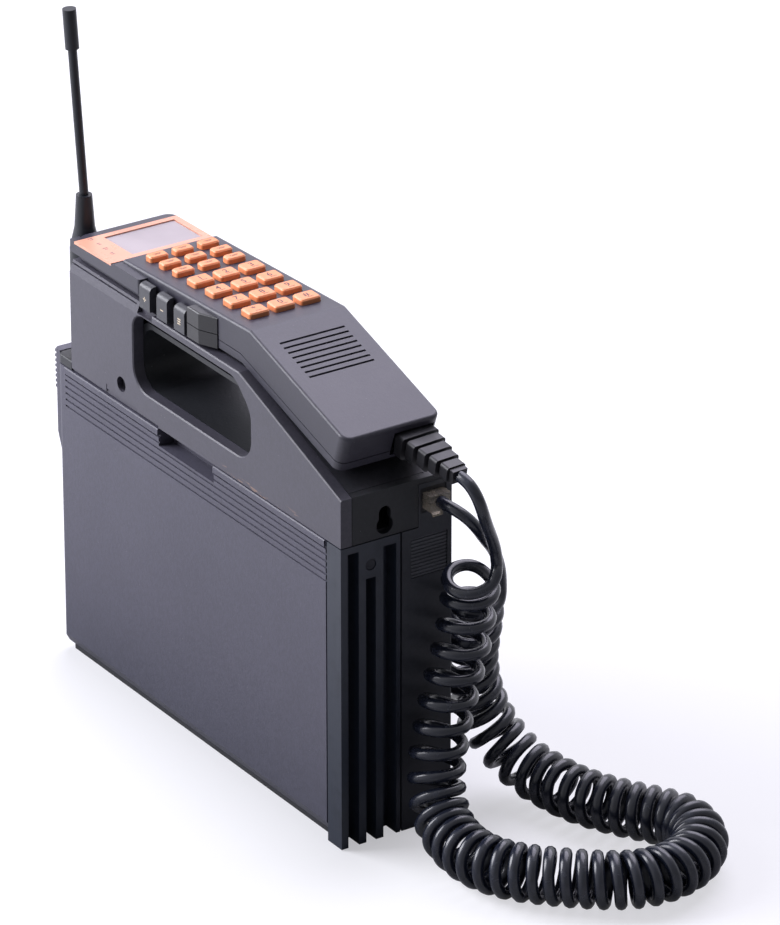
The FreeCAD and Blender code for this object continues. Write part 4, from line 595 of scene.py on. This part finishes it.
# %% Axis of the coil
COIL = metres(
    (154.6, 26.1, 148), (151, 28.4, 138), (149, 29.7, 132.4), (148.8, 27.6, 118),
    (149.4, 24.4, 104), (149, 20.4, 90), (148.5, 14.5, 66), (149, 10, 44), (154, 7, 27),
    (166, 4.5, 16.5), (182, 2, 14.8), (199, 2.5, 14.6), (215, 9.5, 14.6), (228, 21, 14.6),
    (240.5, 34, 14.6), (251, 47.5, 14.6), (256.5, 62, 14.6), (255.8, 77.5, 14.6),
    (249.7, 92.5, 14.6), (237.2, 103.8, 14.6), (221, 107, 14.6), (207, 99.5, 14.6),
    (194, 91, 14.6), (180.3, 84, 14.6), (166, 78.8, 14.6), (151, 76.2, 15),
    (136.5, 71.5, 18), (122.5, 66, 28), (115, 60.4, 42), (112.8, 55.6, 58),
    (114.8, 51.8, 77), (123.5, 49.3, 100), (126, 49, 118.5),
)
FIRST_SIDE = (0.694, 0.720, 0)


class Axis:
    """A line with its length along the way and a cross direction at each point."""

    def __init__(self, places, first_side):
        self.places = places
        self.along = [0.0]
        for a, b in zip(places, places[1:]):
            self.along.append(self.along[-1] + (b - a).length)
        self.ahead = [(b - a).normalized() for a, b in zip(places, places[1:])]
        self.ahead.append(self.ahead[-1])
        self.sides = []
        side = Vector(first_side)
        for ahead in self.ahead:
            side = (side - ahead * side.dot(ahead)).normalized()
            self.sides.append(side)

    def at(self, distance, angle, radius):
        """A point at this distance along, turned by angle to the right as one walks."""
        i = 0
        while i < len(self.along) - 2 and self.along[i + 1] < distance:
            i += 1
        share = (distance - self.along[i]) / (self.along[i + 1] - self.along[i])
        middle = self.places[i].lerp(self.places[i + 1], share)
        side = self.sides[i].lerp(self.sides[i + 1], share).normalized()
        ahead = self.ahead[i].lerp(self.ahead[i + 1], share).normalized()
        other = ahead.cross(side)
        return middle + side * radius * math.cos(angle) + other * radius * math.sin(angle)


coil_axis = Axis(walked(COIL), FIRST_SIDE)
print("coil axis", round(coil_axis.along[-1], 4), "points", len(coil_axis.places))

# %% [markdown]
# ## How close the turns lie
#
# A curly cord is wound on a rod, so all its turns have one size, and only their spacing
# changes: it opens where the cord hangs under its own weight and closes where it lies on
# the floor. `SPACING` holds pairs of a distance along the axis and the distance between
# turns there, in millimetres. The script walks down the axis in small steps and adds up
# the angle that the spacing gives. It leaves `SWING` of the axis free at both ends.

# %% Spacing of the turns
WALKING_STEP = 0.2 * MM
FULL_TURN = 2 * math.pi
SWING = 7 * MM
SPACING = [
    (0, 10), (9, 10.5), (16, 13.5), (30, 14), (50, 13.4), (92, 13), (112, 11.6), (135, 9.8),
    (165, 8.5), (190, 7.9), (250, 7.6), (330, 8.0), (390, 9.2), (425, 10.4), (500, 10.4),
    (520, 8),
]


def spacing(distance):
    """The distance between turns at this distance along the axis."""
    for (a, low), (b, high) in zip(SPACING, SPACING[1:]):
        if distance < b * MM:
            return (low + (high - low) * (distance / MM - a) / (b - a)) * MM
    return SPACING[-1][1] * MM


def wound(start, end):
    """Distances and angles of the turns between two places on the axis."""
    distance, angle, made = start, 0.0, []
    while distance < end:
        made.append((distance, angle))
        angle += FULL_TURN * WALKING_STEP / spacing(distance)
        distance += WALKING_STEP
    return made


turns = wound(SWING, coil_axis.along[-1] - SWING)
print("turns at these spacings", round(turns[-1][1] / FULL_TURN, 2))

# %% [markdown]
# ## The lead to the plug
#
# The last lead comes straight out of the clear plug in the end of the telephone, turns
# down in a soft bend and reaches the last turn of the coil.

# %% Lead to the plug
PLUG_LEAD = metres(
    (136, 20.9, 175.3), (142.2, 20.9, 175.3), (148.2, 22.6, 174.4), (152, 26.4, 170.6),
    (152.4, 31, 164.8), (150.4, 35.4, 159), (147, 40.2, 153.4), (142.6, 45.4, 148),
    (138.6, 50.4, 142), (135.4, 54.8, 134.8), (133.4, 57.6, 127.2), (132.6, 58.6, 119.4),
)
print("lead to the plug", round(run_length(walked(PLUG_LEAD)), 4))

# %% [markdown]
# ## From the coil into its leads
#
# At each end the cord swings out of the coil into its lead: over `SWING` along the axis it
# turns by `SWING_TURN`, while its distance from the axis changes to the lead's. The first
# point is then set on the end of the handset's lead itself, so that the two cords meet.

# %% Swing into the leads
TURN_RADIUS = 11.75 * MM
SWING_TURN = math.radians(50)
SWING_STEPS = 4


def swing_in(axis, at_start, first_angle, joint):
    """Control points from a lead's end to the nearest turn of the coil."""
    points = []
    lead_radius = math.hypot(*(joint - axis.places[0 if at_start else -1]).to_2d())
    for i in range(SWING_STEPS):
        t = i / SWING_STEPS
        reach = SWING * math.sin(t * math.pi / 2)
        distance = reach if at_start else axis.along[-1] - reach
        turned = SWING_TURN * t * t
        angle = first_angle + (turned if at_start else -turned)
        radius = lead_radius + (TURN_RADIUS - lead_radius) * t
        points.append(axis.at(distance, angle, radius))
    return points


top_side = coil_axis.sides[-1]
top_other = coil_axis.ahead[-1].cross(top_side)
arm = PLUG_LEAD[-1] - coil_axis.places[-1]
end_angle = math.atan2(arm.dot(top_other), arm.dot(top_side))
into = swing_in(coil_axis, True, 0.0, HANDSET_LEAD[-1])
into[0] = HANDSET_LEAD[-1]
out = swing_in(coil_axis, False, end_angle, PLUG_LEAD[-1])
print("swing points", len(into), len(out), "last angle", round(math.degrees(end_angle), 1))

# %% [markdown]
# ## Winding the curly cord
#
# The turns have to end where the lead to the plug begins, so all their angles are
# stretched by the same small share. A control point is dropped fourteen times a turn, and
# the swings and the lead to the plug are joined on, which makes the cord one smooth line.

# %% Curly cord
POINTS_PER_TURN = 14
wanted =(end_angle - 2 * SWING_TURN) % FULL_TURN
whole = FULL_TURN * round((turns[-1][1] - wanted) / FULL_TURN) + wanted
stretch = whole / turns[-1][1]
points_on_coil = round(whole / FULL_TURN * POINTS_PER_TURN)
helix = []
cursor = 0
for i in range(points_on_coil + 1):
    angle = whole * i / points_on_coil
    while cursor < len(turns) - 1 and turns[cursor][1] * stretch < angle:
        cursor += 1
    helix.append(coil_axis.at(turns[cursor][0], angle + SWING_TURN, TURN_RADIUS))
cord_points = into + helix + out[::-1] + PLUG_LEAD[::-1][1:]
curly = spline("curly_cord_winding", cord_points, 3, CORD, 3)
curly.data.materials.append(cord_jacket)
cord_length = run_length(walked(cord_points, 6))
print("turns", round(whole / FULL_TURN, 2), "control points", len(cord_points))
print("curly cord length", round(cord_length, 3))

# %% [markdown]
# ## What the curly cord stands for
#
# The engineering model has one plain tube for the coil and another for the lead to the
# plug. The winding takes the place of both. Its length was just measured along its line.

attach(curly, "base")
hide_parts("curly_cord", "plug_lead")

# %% [markdown]
# ## Ink
#
# The printing is a thin layer of ink, a little worn. A figure starts as a text object,
# which is a kind of curve, so it is turned into a mesh before it is moved. The bars are
# thin boxes. `printed` sets such a shape on a face, where it rides with its body.


# %% Ink and printed shapes
def ink(name, colour):
    finish = Finish(name)
    thin = finish.noise(2500, detail=2).above(0.55, 0.8)
    worn = tuple(c * 1.8 + 0.03 for c in colour)
    finish.surface(
        Base_Color=finish.mix(colour, worn, thin),
        Roughness=0.5 + 0.1 * thin,
    )
    return finish.material


key_ink = ink("key_ink", (0.10, 0.05, 0.05))
pale_ink = ink("pale_ink", (0.62, 0.52, 0.38))
grey_ink = ink("grey_ink", (0.20, 0.13, 0.15))
READING_WAY = Matrix.Rotation(math.pi / 2, 4, "Z")
FACING_OUT = Matrix.Rotation(math.pi / 2, 4, "X")
INK_DEPTH = 0.03 * MM
FIGURE_SIZE = 5.4 * MM
FIGURE_BOLDNESS = 0.06 * MM


def printed(name, shape, body, place, turned, material):
    """Set a flat mesh on a face of the telephone, where it rides with its body."""
    shape.transform(Matrix.Translation(place) @ turned)
    shape.materials.clear()
    shape.materials.append(material)
    made = bpy.data.objects.new(name, shape)
    bpy.context.scene.collection.objects.link(made)
    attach(made, body)


def figure(text):
    """One figure or sign as a flat mesh."""
    data = bpy.data.curves.new("figure", "FONT")
    data.body = text
    data.size = FIGURE_SIZE
    data.align_x = "CENTER"
    data.align_y = "CENTER"
    data.extrude = INK_DEPTH
    data.offset = FIGURE_BOLDNESS
    words = bpy.data.objects.new("figure", data)
    bpy.context.scene.collection.objects.link(words)
    bpy.context.view_layer.update()
    mesh = bpy.data.meshes.new_from_object(words)
    bpy.data.objects.remove(words)
    return mesh


def bars(*boxes):
    """Thin square-cornered bars, each given as (x, y, length, width) in metres."""
    shape = bmesh.new()
    for x, y, length, width in boxes:
        size = Matrix.Diagonal((length, width, 2 * INK_DEPTH, 1))
        bmesh.ops.create_cube(shape, size=1, matrix=Matrix.Translation((x, y, 0)) @ size)
    mesh = bpy.data.meshes.new("bars")
    shape.to_mesh(mesh)
    shape.free()
    return mesh


print("ink and printed shapes ready")

# %% [markdown]
# ## Figures on the keys
#
# The twelve dialling keys carry plain figures, printed dark on the orange, with a short
# bar beside each, and the function keys carry longer plain bars. The top of a key is read
# from the box round its node, and the printing moves with the key when it is pressed.


# %% Printing on the keys
def top_of(node, along_x=0.0, along_y=0.0):
    """The middle of a key's top, or a place beside it."""
    low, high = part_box(node)
    return Vector(((low.x + high.x) / 2 + along_x, (low.y + high.y) / 2 + along_y, high.z))


SIGNS = {"star": "*", "hash": "#"}
for key in [*"123456789", "star", "0", "hash"]:
    node = "digit_key_" + key
    sign = figure(SIGNS.get(key, key))
    place = top_of(node, -0.6 * MM)
    printed("figure_" + key, sign, node, place, READING_WAY, key_ink)
    line = bars((0.3 * MM, 0, 3.4 * MM, 0.4 * MM))
    place = top_of(node, 2.2 * MM, 0.4 * MM)
    printed("line_" + key, line, node, place, READING_WAY, key_ink)
for number in range(1, 10):
    node = f"function_key_{number}"
    line = bars((0, 0.45 * MM, 4.6 * MM, 0.45 * MM), (0, -0.45 * MM, 3.2 * MM, 0.4 * MM))
    printed(f"bar_{number}", line, node, top_of(node), READING_WAY, key_ink)
print("keys printed")

# %% [markdown]
# ## Marks on the side keys and the display surround
#
# The side keys carry a plus, a minus and three short bars in cream, and four small grey
# marks beside the display show where its signals light up.

# %% Side keys and display marks
SIDE_MARKS = {
    "volume_up_key": bars((0, 0, 2.6 * MM, 0.6 * MM), (0, 0, 0.6 * MM, 2.6 * MM)),
    "volume_down_key": bars((0, 0, 2.6 * MM, 0.6 * MM)),
    "menu_key": bars(*[(0, y * MM, 2.8 * MM, 0.6 * MM) for y in (-1.2, 0, 1.2)]),
}
for node, shape in SIDE_MARKS.items():
    low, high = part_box(node)
    place = Vector(((low.x + high.x) / 2, low.y, low.z + 0.42 * (high.z - low.z)))
    printed(node + "_mark", shape, node, place, FACING_OUT, pale_ink)

BEZEL_MARKS = metres(
    (-107.2, -24.2, 234.25), (-99.7, -24.1, 234.4), (-92.6, -24.5, 234.55), (-85.6, -25, 234.7)
)
for number, place in enumerate(BEZEL_MARKS, 1):
    wide = 2.8 * MM if number % 2 else 1.8 * MM
    shape = bars((0, 0.8 * MM, wide, 0.6 * MM), (0, -0.8 * MM, 1.8 * MM, 0.6 * MM))
    name = f"signal_mark_{number}"
    printed(name, shape, "handset", place, READING_WAY, grey_ink)
print("marks printed")

# %% [markdown]
# ## A white that lights nothing
#
# The telephone stands on a white sweep. To look as bright as a lit backdrop, the floor and
# the sky glow, but that glow is only for the camera and for reflections, so it puts no
# light on the telephone. The Light Path node tells these kinds of ray apart.


# %% White background
def rays(finish, kind):
    """1 for one kind of ray: Camera, Glossy or Transmission."""
    return finish.node("LightPath", output="Is " + kind + " Ray")


def background(finish, straight, mirrored):
    """The white background, as it looks straight on and as glossy rays find it."""
    seen = rays(finish, "Camera").math("MAXIMUM", rays(finish, "Transmission"))
    return (seen * straight).math("MAXIMUM", rays(finish, "Glossy") * mirrored)


print("white background ready")

# %% [markdown]
# ## The floor
#
# The floor is a wide sheet that takes the soft shadow of the telephone. For glossy rays the
# sheet has a painted shade on the right, in place of a dark flag, so that the end of the
# telephone, which reflects that side, keeps its black plastic black. A glow casts no
# shadow, so a painted shadow turns it down a little near the foot of the telephone, and a
# wider painted shade darkens what glossy rays find near the foot. The glow is turned up far
# away, where the lamps no longer reach.

# %% Floor
CASE_HALF_LENGTH = 0.132
CASE_HALF_WIDTH = 0.032
SHEET_RADIUS = 6
SHEET_DROP = 0.3 * MM
SHEET_COLOUR = (0.40, 0.405, 0.41)
GLOW_COLOUR = (0.96, 0.955, 1.0)


def beyond(distance, half):
    """How far a place is past either edge of the case."""
    return (distance.math("ABSOLUTE", 0.0) - half).math("MAXIMUM", 0.0)


sweep = Finish("floor_sweep")
sweep.surface(
    Base_Color=SHEET_COLOUR,
    Roughness=0.9,
    Emission_Strength=1.0,
    Specular_IOR_Level=0.0,
)
# Painted shade: the sheet is darker on its right for glossy rays, in place of a dark flag.
painted_right_shade = 1 - 0.85 * sweep.axis(0).above(0.05, 0.35)
past_end = beyond(sweep.axis(0), CASE_HALF_LENGTH)
past_side = beyond(sweep.axis(1), CASE_HALF_WIDTH)
from_foot = (past_end * past_end + past_side * past_side) ** 0.5
# Painted shadow: the glow the camera sees is turned down near the foot of the telephone.
painted_floor_shadow = 1 - 0.36 * (1 - from_foot.above(-0.03, 0.06))
# Painted shade in reflections: near the foot the sheet is darker for glossy rays, so the lower
# part of the case reflects it darker.
painted_reflection_shade = from_foot.above(-0.02, 0.24)
far_glow = 0.65 + 0.33 * from_foot.above(0.6, 2.6)
lit = background(sweep, painted_floor_shadow, painted_right_shade * painted_reflection_shade) * far_glow
sweep.surface(Emission_Color=sweep.mix((0, 0, 0), GLOW_COLOUR, lit))

sheet = bmesh.new()
bmesh.ops.create_circle(sheet, cap_ends=True, segments=96, radius=SHEET_RADIUS)
bmesh.ops.translate(sheet, verts=sheet.verts, vec=(0, 0, -SHEET_DROP))
floor_mesh = bpy.data.meshes.new("floor")
sheet.to_mesh(floor_mesh)
sheet.free()
floor_mesh.materials.append(sweep.material)
floor = bpy.data.objects.new("floor", floor_mesh)
bpy.context.scene.collection.objects.link(floor)
print("floor ready")

# %% [markdown]
# ## The sky
#
# The world is white where the camera or a reflection looks at it, and a weak grey for the
# light it throws, which `AMBIENT` sets. Its right half is dimmed, as a dark flag on that
# side would dim it.

# %% Sky
world = bpy.data.worlds.new("studio")
bpy.context.scene.world = world
world.use_nodes = True
AMBIENT = 0.20


class Sky(Finish):
    """The same helpers, working on the world's own graph."""

    def __init__(self, tree):
        self.tree = tree


sky = Sky(world.node_tree)
glow = world.node_tree.nodes["Background"]
to_the_right = sky.node("SeparateXYZ", sockets={0: sky.node("TexCoord", output=0)}, output=0)
flagged_sky = 1 - 0.5 * to_the_right.above(0.0, 0.8)
white_sky = background(sky, 1.0, flagged_sky)
sky.put(glow.inputs["Color"], (0.95, 0.95, 1.0))
sky.put(glow.inputs["Strength"], white_sky.math("MAXIMUM", AMBIENT * flagged_sky))
print("sky ready")

# %% [markdown]
# ## Softboxes
#
# Light comes from a large softbox on the left and another above and behind. Large lamps
# give soft shadows and broad highlights, which show the shape of dark plastic best.


# %% Softboxes
def softbox(name, place, towards, size, power, colour):
    """A square lamp, with its place and size in metres and its power in watts."""
    data = bpy.data.lights.new(name, "AREA")
    data.shape = "SQUARE"
    data.size = size
    data.energy = power
    data.color = colour
    made = bpy.data.objects.new(name, data)
    bpy.context.scene.collection.objects.link(made)
    made.location = place
    made.rotation_euler = (Vector(towards) - Vector(place)).to_track_quat("-Z", "Y").to_euler()


softbox("key_softbox", (-1.0, -1.05, 1.0), (0, 0, 0.12), 1.2, 50, (0.93, 0.93, 1.0))
softbox("top_softbox", (-0.6, 1.0, 1.7), (0, 0, 0.15), 1.8, 39, (0.87, 0.83, 1.0))
bpy.context.scene.view_settings.view_transform = "Standard"
print("studio ready")
